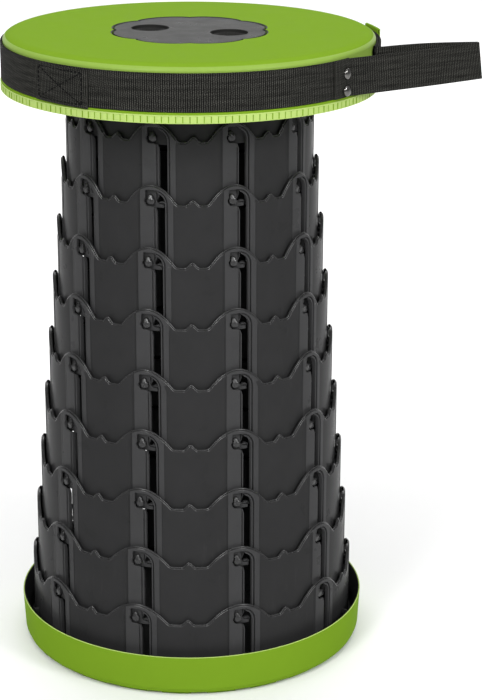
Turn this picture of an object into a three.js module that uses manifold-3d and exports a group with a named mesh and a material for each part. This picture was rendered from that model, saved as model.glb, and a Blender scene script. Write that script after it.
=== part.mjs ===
// Collapsible telescopic stool, in millimetres, +Z up.
// It stands on z = 0 with its axis on Z, drawn out to its full height, and -Y is its front.
// Ten rings slide into each other. Each ring hangs on the studs of the ring inside it: a stud drops
// down the slot of a J-shaped opening, turns aside and rests in the pocket at the slot's top.
import * as THREE from 'three';
import { mergeVertices } from 'three/addons/utils/BufferGeometryUtils.js';
import Module from 'manifold-3d';

const wasm = await Module();
wasm.setup();

// Clearances that several pieces share
const FIT_GAP = 0.3;
const OVERRUN = 4;
const MERGE_TOLERANCE = 0.0001;

// Rings: ring 1 is the innermost and carries the seat, the last one stands in the base
const RING_COUNT = 10;
const INNER_RING_RADIUS = 83.4;
const RING_STEP = 3.9;
const RING_WALL = 2.35;
const STAGE_TRAVEL = 42.3;
const FIRST_RING_TURN = 1.35;
const RING_TWIST = -0.36;

// Scalloped top edge: a hump over each opening, and a small peak in the middle of each valley
const OPENINGS = 10;
const HUMP_HALF_ANGLE = 10.15;
const HUMP_OFFSET_ANGLE = 1.0;
const HUMP_HEIGHT = 13.5;
const HUMP_SLOPE_POWER = 1.35;
const PEAK_HEIGHT = 3.6;
const PEAK_HALF_WIDTH = 3.9;

// Stud, and the J-shaped opening that holds it
const STUD_WIDTH = 5.6;
const STUD_TALL = 7.4;
const STUD_REACH = 2.6;
const STUD_ROOT = 0.5;
const STUD_RISE = 5.8;
const STUD_CORNER_SHARE = 0.5;
const POCKET_LEFT_GAP = 1.2;
const POCKET_RIGHT_GAP = 1.0;
const POCKET_FLOOR_GAP = 0.5;
const POCKET_HEADROOM = 3.2;
const POCKET_CORNER = 1.4;
const RIM_BAND = 3.7;
const SLOT_WIDTH = 7.3;
const HOOK_REACH = 4.6;
const HOOK_HEIGHT = 2.8;
const HOOK_ROOT_HEIGHT = 6.6;
const SLOT_SHOULDER = 9.0;
const SLOT_ARCH_WIDTH_SHARE = 0.33;
const SLOT_ARCH_HEIGHT_SHARE = 0.33;
const RELIEF_SKIN = 1.0;
const RELIEF_SIDE_GAP = 0.6;

// Ring 1's flange, which is clamped under the seat
const FLANGE_THICKNESS = 2.5;
const FLANGE_WIDTH = 9;

// Lugs on the last ring, which stand in the trough of the base
const LUG_WIDTH = 6;
const LUG_HEIGHT = 20;
const LUG_SLOPE = 3;
const LUG_SCREW_STEP = 2;
const LUG_SCREW_INSET = 0.9;

// Base
const FOOT_HEIGHT = 2.2;
const FOOT_COUNT = 24;
const FLOOR_LIFT = 0.5;
const FLOOR_THICKNESS = 3.2;
const TROUGH_WIDTH = 3.7;
const CUP_WALL = 2.0;
const BAND_WALL = 2.5;
const BAND_TAPER = 1.3;
const BAND_LIP_REACH = 1.8;
const BAND_LIP_THICKNESS = 1.2;
const BAND_BEVEL_WIDTH = 1.4;
const BAND_BEVEL_HEIGHT = 3.4;

// Seat
const TOP_PLATE = 2.9;
const SEAT_WALL = 2.7;
const SEAT_OVERHANG = 2.3;
const SKIRT_GAP = 0.7;
const CEILING_GAP = 1.5;
const BEAD_PROUD = 1.2;
const BEAD_HEIGHT = 5.0;
const BEAD_ROUND = 3.3;
const RIBBED_EDGE_HEIGHT = 5.6;
const RIBBED_EDGE_PROUD = 0.5;
const LIP_HEIGHT = 1.4;
const LIP_INSET = 0.6;

// Seat centre: a flower-shaped insert with two finger holes
const FLOWER_RADIUS = 54.6;
const FLOWER_LOBES = 8;
const FLOWER_NOTCH = 4.2;
const FLOWER_LOBE_POINTS = 4;
const FLOWER_LOBE_POWER = 0.6;
const FLOWER_GAP = 0.5;
const FLOWER_RECESS = 0.8;
const CENTER_PLATE = 2.5;
const FINGER_HOLE_RADIUS = 13;
const FINGER_HOLE_SPACING = 58;
const FINGER_HOLE_TURN = -19;
const FINGER_SLEEVE_WALL = 1.8;
const FINGER_SLEEVE_DEPTH = 9;
const FINGER_HOLE_SIDES = 16;

// Seat screws and their bosses
const SEAT_SCREW_COUNT = 5;
const BOSS_RADIUS = 3.2;
const BOSS_INSET = 4.6;
const BOSS_SIDES = 8;
const SCREW_SIDES = 6;
const SCREW_HEAD_SIDES = 8;
const SEAT_SCREW_RADIUS = 1.2;
const SEAT_SCREW_HEAD_RADIUS = 2.8;
const SEAT_SCREW_HEAD_HEIGHT = 1.8;
const SEAT_SCREW_BITE = 4.0;
const BASE_SCREW_RADIUS = 0.9;
const BASE_SCREW_HEAD_RADIUS = 2.1;
const BASE_SCREW_HEAD_HEIGHT = 1.3;
const BASE_SCREW_BITE = 8;

// Strap of flat webbing round the seat wall
const WEBBING_WIDTH = 25.3;
const WEBBING_THICKNESS = 1.5;
const OVERLAP_FROM = -49.5;
const OVERLAP_TO = -30;
const OVERLAP_DROP = 1.0;
const STRAP_TOP_GAP = 0.4;
const OVERLAP_STEPS = 4;

// Hand loop: it lies on the strap at the rivets, stands off the seat, folds and comes back
const RIVET_AZIMUTH = 51.2;
const LOOP_TAB_ANGLE = 5;
const LOOP_FOLD_AZIMUTH = 84.2;
const LOOP_REACH = 70;
const LOOP_FOLD_GAP = 0.8;
const LOOP_BACK_AZIMUTH = 73;
const LOOP_FRONT_BULGE = 1.2;
const LOOP_BACK_BULGE = 5;
const LOOP_BEND_SHARES = [0.25, 0.5, 0.75];

// Rivets through the loop, the strap and the seat wall
const RIVET_SPACING = 11.4;
const RIVET_DROP = 2.4;
const RIVET_RADIUS = 1.4;
const RIVET_HEAD_RADIUS = 3.9;
const RIVET_HEAD_HEIGHT = 1.7;
const RIVET_HEAD_EDGE = 0.6;
const RIVET_DOME_SHARE = 0.6;
const RIVET_BACK_HEIGHT = 1.0;
const RIVET_SIDES = 8;

// Facets round the axis
const SEAT_FACETS = 48;
const BASE_FACETS = 48;
const INNER_RING_FACETS = 36;

// Places worked out from the sizes above
const lastRing = RING_COUNT;
const ringOuter = (number) => INNER_RING_RADIUS + RING_STEP * (number - 1);
const ringInner = (number) => ringOuter(number) - RING_WALL;
const ringTurn = (number) => FIRST_RING_TURN + RING_TWIST * (number - 1);
const pocketCentre = STUD_RISE + STAGE_TRAVEL;
const pocketTop = pocketCentre + STUD_TALL / 2 + POCKET_HEADROOM;
const ringHeight = pocketTop + RIM_BAND;
const valleyHeight = ringHeight - HUMP_HEIGHT;
const lastRingBottom = FOOT_HEIGHT + FLOOR_LIFT + FLOOR_THICKNESS + FIT_GAP;
const ringBottom = (number) => lastRingBottom + STAGE_TRAVEL * (lastRing - number);
const ceilingHeight = ringBottom(1) + ringHeight + CEILING_GAP;
const seatTop = ceilingHeight + TOP_PLATE;
const strapTop = seatTop - BEAD_HEIGHT - STRAP_TOP_GAP;
const strapBottom = strapTop - WEBBING_WIDTH;
const lipTop = strapBottom - FIT_GAP;
const skirtBottom = lipTop - LIP_HEIGHT - RIBBED_EDGE_HEIGHT;
const rimHeight = skirtBottom - SKIRT_GAP - STAGE_TRAVEL * (lastRing - 1);

const cupInner = ringOuter(lastRing) + TROUGH_WIDTH;
const cupOuter = cupInner + CUP_WALL;
const bandInner = cupOuter + FIT_GAP;
const bandOuter = bandInner + BAND_WALL;
const seatWallOuter = bandOuter + SEAT_OVERHANG;
const seatWallInner = seatWallOuter - SEAT_WALL;
const strapInner = seatWallOuter + FIT_GAP;
const strapOuter = strapInner + WEBBING_THICKNESS;
const ribbedEdgeRadius = strapOuter + RIBBED_EDGE_PROUD;

const centerPlateTop = ceilingHeight - FIT_GAP;
const centerPlateBottom = centerPlateTop - CENTER_PLATE;
const flangeTop = centerPlateBottom - FIT_GAP;
const flangeBottom = flangeTop - FLANGE_THICKNESS;
const bossCircle = ringInner(1) - BOSS_INSET;
const lugScrewCircle = ringOuter(lastRing) + LUG_SCREW_INSET;

const degrees = THREE.MathUtils.degToRad;
const fullTurn = 2 * Math.PI;

// Finishes
const limePlastic = new THREE.MeshStandardMaterial({ color: 0x7ea92b, roughness: 0.45, metalness: 0 });
const blackPlastic = new THREE.MeshStandardMaterial({ color: 0x2b2b2c, roughness: 0.4, metalness: 0 });
const webbing = new THREE.MeshStandardMaterial({ color: 0x232321, roughness: 0.9, metalness: 0 });
const silver = new THREE.MeshStandardMaterial({ color: 0xc9cacb, roughness: 0.25, metalness: 1 });
const steel = new THREE.MeshStandardMaterial({ color: 0x8f9193, roughness: 0.35, metalness: 1 });

// Solids and how they are cut and joined

function solid(geometry) {
  const bare = geometry.clone();
  bare.deleteAttribute('normal');
  bare.deleteAttribute('uv');
  const merged = mergeVertices(bare, MERGE_TOLERANCE);
  return new wasm.Manifold(new wasm.Mesh({
    numProp: 3,
    vertProperties: new Float32Array(merged.attributes.position.array),
    triVerts: new Uint32Array(merged.index.array),
  }));
}

function join(solids) {
  return solids.reduce((whole, piece) => whole.add(piece));
}

function geometryOf(manifold) {
  const mesh = manifold.getMesh();
  const geometry = new THREE.BufferGeometry();
  geometry.setAttribute('position', new THREE.BufferAttribute(mesh.vertProperties, 3));
  geometry.setIndex(new THREE.BufferAttribute(mesh.triVerts, 1));
  geometry.computeVertexNormals();
  return geometry;
}

// A closed profile of [radius, height] points, turned round Z
function revolve(profile, facets) {
  const points = [...profile, profile[0]].map(([radius, height]) => new THREE.Vector2(radius, height));
  return new THREE.LatheGeometry(points, facets).rotateX(Math.PI / 2);
}

// An outline of [x, y] points, extruded up from a height
function prism(outline, bottom, top) {
  const shape = new THREE.Shape(outline.map(([x, y]) => new THREE.Vector2(x, y)));
  const geometry = new THREE.ExtrudeGeometry(shape, { depth: top - bottom, bevelEnabled: false });
  return geometry.translate(0, 0, bottom);
}

function circle(radius, sides, centre = [0, 0]) {
  return Array.from({ length: sides }, (_, i) => {
    const angle = fullTurn * i / sides;
    return [centre[0] + radius * Math.cos(angle), centre[1] + radius * Math.sin(angle)];
  });
}

// A point on a circle round Z: azimuth 0 is the front, -Y, and it grows towards +X
function around(radius, azimuth) {
  return [radius * Math.sin(azimuth), -radius * Math.cos(azimuth)];
}

// A panel of a wall round Z, flat between the two radii. Its outline is in [azimuth, height] points,
// and the points between its first and last azimuth lie on the straight facet that joins them.
function panel(outline, inner, outer) {
  const azimuths = outline.map(([azimuth]) => azimuth);
  const from = Math.min(...azimuths);
  const to = Math.max(...azimuths);
  const shape = new THREE.Shape(outline.map(([azimuth, height]) => (
    new THREE.Vector2((azimuth - from) / (to - from), height)
  )));
  const geometry = new THREE.ExtrudeGeometry(shape, { depth: 1, bevelEnabled: false });
  const position = geometry.attributes.position;
  for (let i = 0; i < position.count; i++) {
    const radius = position.getZ(i) > 0 ? outer : inner;
    const share = position.getX(i);
    const first = around(radius, from);
    const last = around(radius, to);
    position.setXYZ(
      i,
      first[0] * (1 - share) + last[0] * share,
      first[1] * (1 - share) + last[1] * share,
      position.getY(i),
    );
  }
  return geometry;
}

// Telescopic rings

// Height of the scalloped edge, at an angle measured from the pocket's centre line
function edgeHeight(angle) {
  const share = Math.min(1, Math.abs(angle - degrees(HUMP_OFFSET_ANGLE)) / degrees(HUMP_HALF_ANGLE));
  return valleyHeight + HUMP_HEIGHT * (1 + Math.cos(Math.PI * share ** HUMP_SLOPE_POWER)) / 2;
}

function edgePoint(angle) {
  return [angle, edgeHeight(angle)];
}

// One tenth of a ring's wall as panels that meet at the corners of the opening
function wallPanels(outer) {
  const hump = degrees(HUMP_OFFSET_ANGLE);
  const halfHump = degrees(HUMP_HALF_ANGLE);
  const halfSector = Math.PI / OPENINGS;
  const start = hump - halfSector;
  const end = hump + halfSector;
  const humpStart = hump - halfHump;
  const humpEnd = hump + halfHump;
  const peak = PEAK_HALF_WIDTH / outer;
  const left = -(STUD_WIDTH / 2 + POCKET_LEFT_GAP) / outer;
  const slotLeft = (STUD_WIDTH / 2 + POCKET_RIGHT_GAP) / outer;
  const slotRight = slotLeft + SLOT_WIDTH / outer;
  const hookEnd = slotLeft + HOOK_REACH / outer;
  const corner = POCKET_CORNER / outer;
  const floor = pocketCentre - STUD_TALL / 2 - POCKET_FLOOR_GAP;
  const shoulder = pocketTop - SLOT_SHOULDER;
  const archMiddle = [
    slotRight - SLOT_ARCH_WIDTH_SHARE * SLOT_WIDTH / outer,
    pocketTop - SLOT_ARCH_HEIGHT_SHARE * SLOT_SHOULDER,
  ];
  const peakTop = valleyHeight + PEAK_HEIGHT;
  const strip = (from, to, topEdge) => [[from, 0], [to, 0], ...topEdge];
  return [
    strip(start, humpStart, [[humpStart, valleyHeight], [start + peak, valleyHeight], [start, peakTop]]),
    strip(humpStart, left, [edgePoint(left), [humpStart, valleyHeight]]),
    strip(left, slotLeft, [[slotLeft, floor], [left + corner, floor], [left, pocketCentre]]),
    [
      [left, pocketCentre],
      [left + corner, pocketTop],
      [slotLeft, pocketTop],
      edgePoint(slotLeft),
      edgePoint(left),
    ],
    strip(slotLeft, hookEnd, [[hookEnd, HOOK_HEIGHT], [slotLeft, HOOK_ROOT_HEIGHT]]),
    [
      [slotLeft, pocketTop],
      archMiddle,
      [slotRight, shoulder],
      edgePoint(slotRight),
      edgePoint(archMiddle[0]),
      edgePoint(slotLeft),
    ],
    strip(slotRight, humpEnd, [[humpEnd, valleyHeight], edgePoint(slotRight)]),
    strip(humpEnd, end, [[end, peakTop], [end - peak, valleyHeight], [humpEnd, valleyHeight]]),
  ];
}

// The groove under each pocket, cut from inside so that the stud can pass down behind it
function reliefOutline(outer, azimuth) {
  const half = (STUD_WIDTH / 2 + RELIEF_SIDE_GAP) / outer;
  return [
    [azimuth - half, -OVERRUN],
    [azimuth + half, -OVERRUN],
    [azimuth + half, pocketCentre],
    [azimuth - half, pocketCentre],
  ];
}

// The stud's outline on the ring, wider across its middle
function studOutline(outer, azimuth) {
  const halfWidth = STUD_WIDTH / 2 / outer;
  const halfTall = STUD_TALL / 2;
  const corner = STUD_CORNER_SHARE * halfWidth;
  return [
    [azimuth - halfWidth, STUD_RISE],
    [azimuth - corner, STUD_RISE - halfTall],
    [azimuth + corner, STUD_RISE - halfTall],
    [azimuth + halfWidth, STUD_RISE],
    [azimuth + corner, STUD_RISE + halfTall],
    [azimuth - corner, STUD_RISE + halfTall],
  ];
}

function openingAzimuth(i) {
  return (i + 0.5) * fullTurn / OPENINGS;
}

// Each stud stands where the next ring's pocket is, a little aside of its own ring's openings
function studs(number, turn = 0) {
  const outer = ringOuter(number);
  return Array.from({ length: OPENINGS }, (_, i) => {
    const azimuth = openingAzimuth(i) + degrees(turn + RING_TWIST);
    return solid(panel(studOutline(outer, azimuth), outer - STUD_ROOT, outer + STUD_REACH));
  });
}

function openRingWall(number) {
  const outer = ringOuter(number);
  const inner = ringInner(number);
  const panels = wallPanels(outer);
  const walls = [];
  const reliefs = [];
  for (let i = 0; i < OPENINGS; i++) {
    const turned = (outline) => outline.map(([angle, height]) => [openingAzimuth(i) + angle, height]);
    panels.forEach((outline) => walls.push(solid(panel(turned(outline), inner, outer))));
    const relief = reliefOutline(outer, openingAzimuth(i));
    reliefs.push(solid(panel(relief, inner - OVERRUN, outer - RELIEF_SKIN)));
  }
  return join(walls).subtract(join(reliefs));
}

// Ring 1 has no ring inside it, so its wall is plain, with a flange that is screwed under the seat
function innerRing() {
  const outer = ringOuter(1);
  const inner = ringInner(1);
  const flangeInner = inner - FLANGE_WIDTH;
  const top = flangeTop - ringBottom(1);
  const under = top - FLANGE_THICKNESS;
  const wall = solid(revolve([
    [inner, 0], [outer, 0], [outer, top], [flangeInner, top], [flangeInner, under], [inner, under],
  ], INNER_RING_FACETS));
  const holes = seatScrewCentres().map((centre) => (
    solid(prism(circle(SEAT_SCREW_RADIUS + FIT_GAP, SCREW_SIDES, centre), under - OVERRUN, top + OVERRUN))
  ));
  return join([wall, ...studs(1, ringTurn(1))]).subtract(join(holes));
}

// The lugs stand in the valleys of the last ring, and every second one takes a screw from below
function lugOutline(azimuth, outer) {
  const half = LUG_WIDTH / 2 / outer;
  return [
    [azimuth - half, 0],
    [azimuth + half, 0],
    [azimuth + half, LUG_HEIGHT - LUG_SLOPE],
    [azimuth - half, LUG_HEIGHT],
  ];
}

function lugAzimuth(i) {
  return i * fullTurn / OPENINGS + degrees(HUMP_OFFSET_ANGLE) + degrees(ringTurn(lastRing));
}

function baseScrewCentres() {
  const count = Math.floor(OPENINGS / LUG_SCREW_STEP);
  return Array.from({ length: count }, (_, i) => around(lugScrewCircle, lugAzimuth(i * LUG_SCREW_STEP)));
}

function outerRing() {
  const outer = ringOuter(lastRing);
  const lugs = Array.from({ length: OPENINGS }, (_, i) => (
    solid(panel(lugOutline(lugAzimuth(i), outer), outer - STUD_ROOT, cupInner - FIT_GAP))
  ));
  const pilots = baseScrewCentres().map((centre) => (
    solid(prism(
      circle(BASE_SCREW_RADIUS + FIT_GAP, SCREW_SIDES, centre),
      -OVERRUN,
      BASE_SCREW_BITE + FIT_GAP,
    ))
  ));
  const wall = solid(geometryOf(openRingWall(lastRing)).rotateZ(degrees(ringTurn(lastRing))));
  return join([wall, ...lugs]).subtract(join(pilots));
}

function middleRing(number) {
  return join([openRingWall(number), ...studs(number)]);
}

// Seat

function seatScrewCentres() {
  return Array.from({ length: SEAT_SCREW_COUNT }, (_, i) => (
    around(bossCircle, (i + 0.5) * fullTurn / SEAT_SCREW_COUNT)
  ));
}

// A rosette: round lobes that meet in sharp notches
function flowerOutline(radius) {
  const steps = FLOWER_LOBES * FLOWER_LOBE_POINTS;
  return Array.from({ length: steps }, (_, i) => {
    const angle = fullTurn * i / steps;
    const swell = Math.abs(Math.sin(FLOWER_LOBES * angle / 2)) ** FLOWER_LOBE_POWER;
    const reach = radius - FLOWER_NOTCH * (1 - swell);
    return [reach * Math.cos(angle), reach * Math.sin(angle)];
  });
}

function seatCover() {
  const beadOuter = seatWallOuter + BEAD_PROUD;
  const beadBottom = seatTop - BEAD_HEIGHT;
  const round = BEAD_ROUND * Math.SQRT1_2;
  const ribbedTop = lipTop - LIP_HEIGHT;
  const lipOuter = ribbedEdgeRadius - LIP_INSET;
  const shell = solid(revolve([
    [0, ceilingHeight],
    [seatWallInner, ceilingHeight],
    [seatWallInner, skirtBottom],
    [ribbedEdgeRadius, skirtBottom],
    [ribbedEdgeRadius, ribbedTop],
    [lipOuter, ribbedTop],
    [lipOuter, lipTop],
    [seatWallOuter, lipTop],
    [seatWallOuter, beadBottom],
    [beadOuter, beadBottom],
    [beadOuter, seatTop - BEAD_ROUND],
    [beadOuter - BEAD_ROUND + round, seatTop - BEAD_ROUND + round],
    [beadOuter - BEAD_ROUND, seatTop],
    [0, seatTop],
  ], SEAT_FACETS));
  const centres = seatScrewCentres();
  const bosses = centres.map((centre) => (
    solid(prism(circle(BOSS_RADIUS, BOSS_SIDES, centre), centerPlateBottom, ceilingHeight + TOP_PLATE / 2))
  ));
  const pilots = centres.map((centre) => (
    solid(prism(
      circle(SEAT_SCREW_RADIUS + FIT_GAP, SCREW_SIDES, centre),
      centerPlateBottom - OVERRUN,
      centerPlateBottom + SEAT_SCREW_BITE + FIT_GAP,
    ))
  ));
  const flower = solid(prism(
    flowerOutline(FLOWER_RADIUS + FLOWER_GAP),
    ceilingHeight - OVERRUN,
    seatTop + OVERRUN,
  ));
  return join([shell, ...bosses]).subtract(join([flower, ...pilots, ...rivetHoles()]));
}

function seatCenter() {
  const plate = solid(prism(circle(ringOuter(1), INNER_RING_FACETS), centerPlateBottom, centerPlateTop));
  const flowerTop = seatTop - FLOWER_RECESS;
  const flower = solid(prism(flowerOutline(FLOWER_RADIUS), centerPlateBottom, flowerTop));
  const fingerCentres = [0, Math.PI].map((half) => {
    const angle = half + degrees(FINGER_HOLE_TURN);
    return [Math.cos(angle) * FINGER_HOLE_SPACING / 2, Math.sin(angle) * FINGER_HOLE_SPACING / 2];
  });
  const sleeves = fingerCentres.map((centre) => (
    solid(prism(
      circle(FINGER_HOLE_RADIUS + FINGER_SLEEVE_WALL, FINGER_HOLE_SIDES, centre),
      centerPlateBottom - FINGER_SLEEVE_DEPTH,
      centerPlateTop,
    ))
  ));
  const fingerHoles = fingerCentres.map((centre) => (
    solid(prism(
      circle(FINGER_HOLE_RADIUS, FINGER_HOLE_SIDES, centre),
      centerPlateBottom - FINGER_SLEEVE_DEPTH - OVERRUN,
      seatTop,
    ))
  ));
  const bossHoles = seatScrewCentres().map((centre) => (
    solid(prism(
      circle(BOSS_RADIUS + FIT_GAP, BOSS_SIDES, centre),
      centerPlateBottom - OVERRUN,
      centerPlateTop + OVERRUN,
    ))
  ));
  return join([plate, flower, ...sleeves]).subtract(join([...fingerHoles, ...bossHoles]));
}

// A screw that points up from the underside of its head
function screw(centre, headBottom, headRadius, headHeight, shankRadius, shankTop) {
  const head = prism(circle(headRadius, SCREW_HEAD_SIDES, centre), headBottom, headBottom + headHeight);
  const shank = prism(circle(shankRadius, SCREW_SIDES, centre), headBottom, shankTop);
  return join([solid(head), solid(shank)]);
}

function seatScrew(centre) {
  return screw(
    centre,
    flangeBottom - FIT_GAP - SEAT_SCREW_HEAD_HEIGHT,
    SEAT_SCREW_HEAD_RADIUS,
    SEAT_SCREW_HEAD_HEIGHT,
    SEAT_SCREW_RADIUS,
    centerPlateBottom + SEAT_SCREW_BITE,
  );
}

// Strap and hand loop

function strapBand() {
  const band = solid(revolve([
    [strapInner, strapBottom], [strapOuter, strapBottom], [strapOuter, strapTop], [strapInner, strapTop],
  ], SEAT_FACETS));
  return band.subtract(join(rivetHoles()));
}

// The webbing's free end, sewn over its start: it sinks a little towards its tip
function strapOverlap() {
  const inner = strapOuter + FIT_GAP;
  const station = (i) => {
    const share = i / OVERLAP_STEPS;
    const azimuth = degrees(OVERLAP_FROM + (OVERLAP_TO - OVERLAP_FROM) * share);
    return { azimuth, drop: OVERLAP_DROP * share };
  };
  return join(Array.from({ length: OVERLAP_STEPS }, (_, i) => {
    const from = station(i);
    const to = station(i + 1);
    return solid(panel([
      [from.azimuth, strapBottom - from.drop],
      [to.azimuth, strapBottom - to.drop],
      [to.azimuth, strapTop - to.drop],
      [from.azimuth, strapTop - from.drop],
    ], inner, inner + WEBBING_THICKNESS));
  }));
}

// A stretch between two points that bows sideways by a bulge, to the right of its run if positive
function bowed(from, to, bulge) {
  const run = [to[0] - from[0], to[1] - from[1]];
  const length = Math.hypot(...run);
  const side = [run[1] / length, -run[0] / length];
  return LOOP_BEND_SHARES.map((share) => {
    const offset = bulge * Math.sin(Math.PI * share);
    return [from[0] + run[0] * share + side[0] * offset, from[1] + run[1] * share + side[1] * offset];
  });
}

// The loop's centre line seen from above, from the tab under the rivets to the root of the back leg
function loopPath() {
  const lie = strapOuter + FIT_GAP + WEBBING_THICKNESS / 2;
  const fold = around(lie + LOOP_REACH, degrees(LOOP_FOLD_AZIMUTH));
  const tabStart = around(lie, degrees(RIVET_AZIMUTH - LOOP_TAB_ANGLE));
  const tab = around(lie, degrees(RIVET_AZIMUTH));
  const leave = around(lie, degrees(RIVET_AZIMUTH + LOOP_TAB_ANGLE / 2));
  const backRoot = around(lie, degrees(LOOP_BACK_AZIMUTH));
  const pitch = WEBBING_THICKNESS + LOOP_FOLD_GAP;
  const run = [fold[0] - leave[0], fold[1] - leave[1]];
  const length = Math.hypot(...run);
  const along = [run[0] / length, run[1] / length];
  const left = [-along[1], along[0]];
  const foldTip = [
    fold[0] + along[0] * pitch + left[0] * pitch / 2,
    fold[1] + along[1] * pitch + left[1] * pitch / 2,
  ];
  const foldBack = [fold[0] + left[0] * pitch, fold[1] + left[1] * pitch];
  return [
    tabStart, tab, leave, ...bowed(leave, fold, LOOP_FRONT_BULGE), fold, foldTip, foldBack,
    ...bowed(foldBack, backRoot, LOOP_BACK_BULGE), backRoot,
  ];
}

// The outline of a ribbon of even thickness whose centre line is a path
function ribbon(path, thickness) {
  const sideOf = (i) => {
    const before = path[Math.max(0, i - 1)];
    const after = path[Math.min(path.length - 1, i + 1)];
    const length = Math.hypot(after[0] - before[0], after[1] - before[1]);
    return [(after[1] - before[1]) / length, (before[0] - after[0]) / length];
  };
  const edge = (sign) => path.map(([x, y], i) => {
    const side = sideOf(i);
    return [x + sign * side[0] * thickness / 2, y + sign * side[1] * thickness / 2];
  });
  return [...edge(1), ...edge(-1).reverse()];
}

function strapLoop() {
  const loop = solid(prism(ribbon(loopPath(), WEBBING_THICKNESS), strapBottom, strapTop));
  return loop.subtract(join(rivetHoles()));
}

// Rivets

function rivetHeights() {
  const middle = (strapBottom + strapTop) / 2 - RIVET_DROP;
  return [middle + RIVET_SPACING / 2, middle - RIVET_SPACING / 2];
}

// A shape turned round X, moved out along the rivets' azimuth to a height
function placedOnRivetAxis(geometry, height) {
  return geometry.rotateX(Math.PI / 2).rotateZ(degrees(RIVET_AZIMUTH)).translate(0, 0, height);
}

function rivetHoles() {
  return rivetHeights().map((height) => {
    const hole = prism(
      circle(RIVET_RADIUS + FIT_GAP, RIVET_SIDES),
      seatWallInner - OVERRUN,
      strapOuter + WEBBING_THICKNESS + OVERRUN,
    );
    return solid(placedOnRivetAxis(hole, height));
  });
}

// Domed head outside, shank, and flat back inside the seat wall, as one turned piece
function rivet(height) {
  const backTop = seatWallInner * Math.cos(Math.PI / SEAT_FACETS) - FIT_GAP;
  const headBase = strapOuter + FIT_GAP + WEBBING_THICKNESS + FIT_GAP;
  const domeShoulder = headBase + RIVET_HEAD_HEIGHT * RIVET_DOME_SHARE + RIVET_HEAD_EDGE;
  const profile = [
    [0, backTop - RIVET_BACK_HEIGHT],
    [RIVET_HEAD_RADIUS, backTop - RIVET_BACK_HEIGHT],
    [RIVET_HEAD_RADIUS, backTop],
    [RIVET_RADIUS, backTop],
    [RIVET_RADIUS, headBase],
    [RIVET_HEAD_RADIUS, headBase],
    [RIVET_HEAD_RADIUS, headBase + RIVET_HEAD_EDGE],
    [RIVET_HEAD_RADIUS * RIVET_DOME_SHARE, domeShoulder],
    [0, headBase + RIVET_HEAD_EDGE + RIVET_HEAD_HEIGHT],
  ];
  return solid(placedOnRivetAxis(revolve(profile, RIVET_SIDES), height));
}

// Base

function baseBand() {
  const lipInner = bandInner - BAND_LIP_REACH;
  const hoopLipTop = FOOT_HEIGHT + BAND_LIP_THICKNESS;
  const wallBottomOuter = bandOuter - BAND_TAPER;
  const hoop = solid(revolve([
    [lipInner, FOOT_HEIGHT],
    [wallBottomOuter - BAND_BEVEL_WIDTH, FOOT_HEIGHT],
    [wallBottomOuter, FOOT_HEIGHT + BAND_BEVEL_HEIGHT],
    [bandOuter, rimHeight],
    [bandInner, rimHeight],
    [bandInner, hoopLipTop],
    [lipInner, hoopLipTop],
  ], BASE_FACETS));
  const pitch = fullTurn / FOOT_COUNT;
  const feet = Array.from({ length: FOOT_COUNT }, (_, i) => {
    const from = i * pitch;
    const to = from + pitch / 2;
    const outline = [[from, 0], [to, 0], [to, hoopLipTop], [from, hoopLipTop]];
    return solid(panel(outline, lipInner, wallBottomOuter - BAND_BEVEL_WIDTH));
  });
  return join([hoop, ...feet]);
}

function baseCup() {
  const bottom = FOOT_HEIGHT + FLOOR_LIFT;
  const floorTop = bottom + FLOOR_THICKNESS;
  const rebateInner = bandInner - BAND_LIP_REACH - FIT_GAP;
  const rebateTop = FOOT_HEIGHT + BAND_LIP_THICKNESS + FIT_GAP;
  const cup = solid(revolve([
    [0, bottom],
    [rebateInner, bottom],
    [rebateInner, rebateTop],
    [cupOuter, rebateTop],
    [cupOuter, rimHeight],
    [cupInner, rimHeight],
    [cupInner, floorTop],
    [0, floorTop],
  ], BASE_FACETS));
  const cuts = baseScrewCentres().flatMap((centre) => [
    prism(circle(BASE_SCREW_RADIUS + FIT_GAP, SCREW_SIDES, centre), bottom - OVERRUN, floorTop + OVERRUN),
    prism(
      circle(BASE_SCREW_HEAD_RADIUS + FIT_GAP, SCREW_HEAD_SIDES, centre),
      bottom - OVERRUN,
      bottom + BASE_SCREW_HEAD_HEIGHT + FIT_GAP,
    ),
  ]);
  return cup.subtract(join(cuts.map(solid)));
}

function baseScrew(centre) {
  return screw(
    centre,
    FOOT_HEIGHT + FLOOR_LIFT,
    BASE_SCREW_HEAD_RADIUS,
    BASE_SCREW_HEAD_HEIGHT,
    BASE_SCREW_RADIUS,
    lastRingBottom + BASE_SCREW_BITE,
  );
}

// The stool, put together

function piece(name, manifold, material) {
  const mesh = new THREE.Mesh(geometryOf(manifold), material);
  mesh.name = name;
  return mesh;
}

function ringPiece(number) {
  const builders = { 1: innerRing, [lastRing]: outerRing };
  const build = builders[number] ?? middleRing;
  const ring = piece(`ring_${number}`, build(number), blackPlastic);
  ring.position.z = ringBottom(number);
  if (build === middleRing) ring.rotation.z = degrees(ringTurn(number));
  return ring;
}

const stool = new THREE.Group();

const base = new THREE.Group();
base.add(piece('base_band', baseBand(), limePlastic));
base.add(piece('base_cup', baseCup(), blackPlastic));
baseScrewCentres().forEach((centre, i) => base.add(piece(`base_screw_${i + 1}`, baseScrew(centre), steel)));
stool.add(base);

const column = new THREE.Group();
for (let number = 1; number <= RING_COUNT; number++) column.add(ringPiece(number));
stool.add(column);

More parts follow.
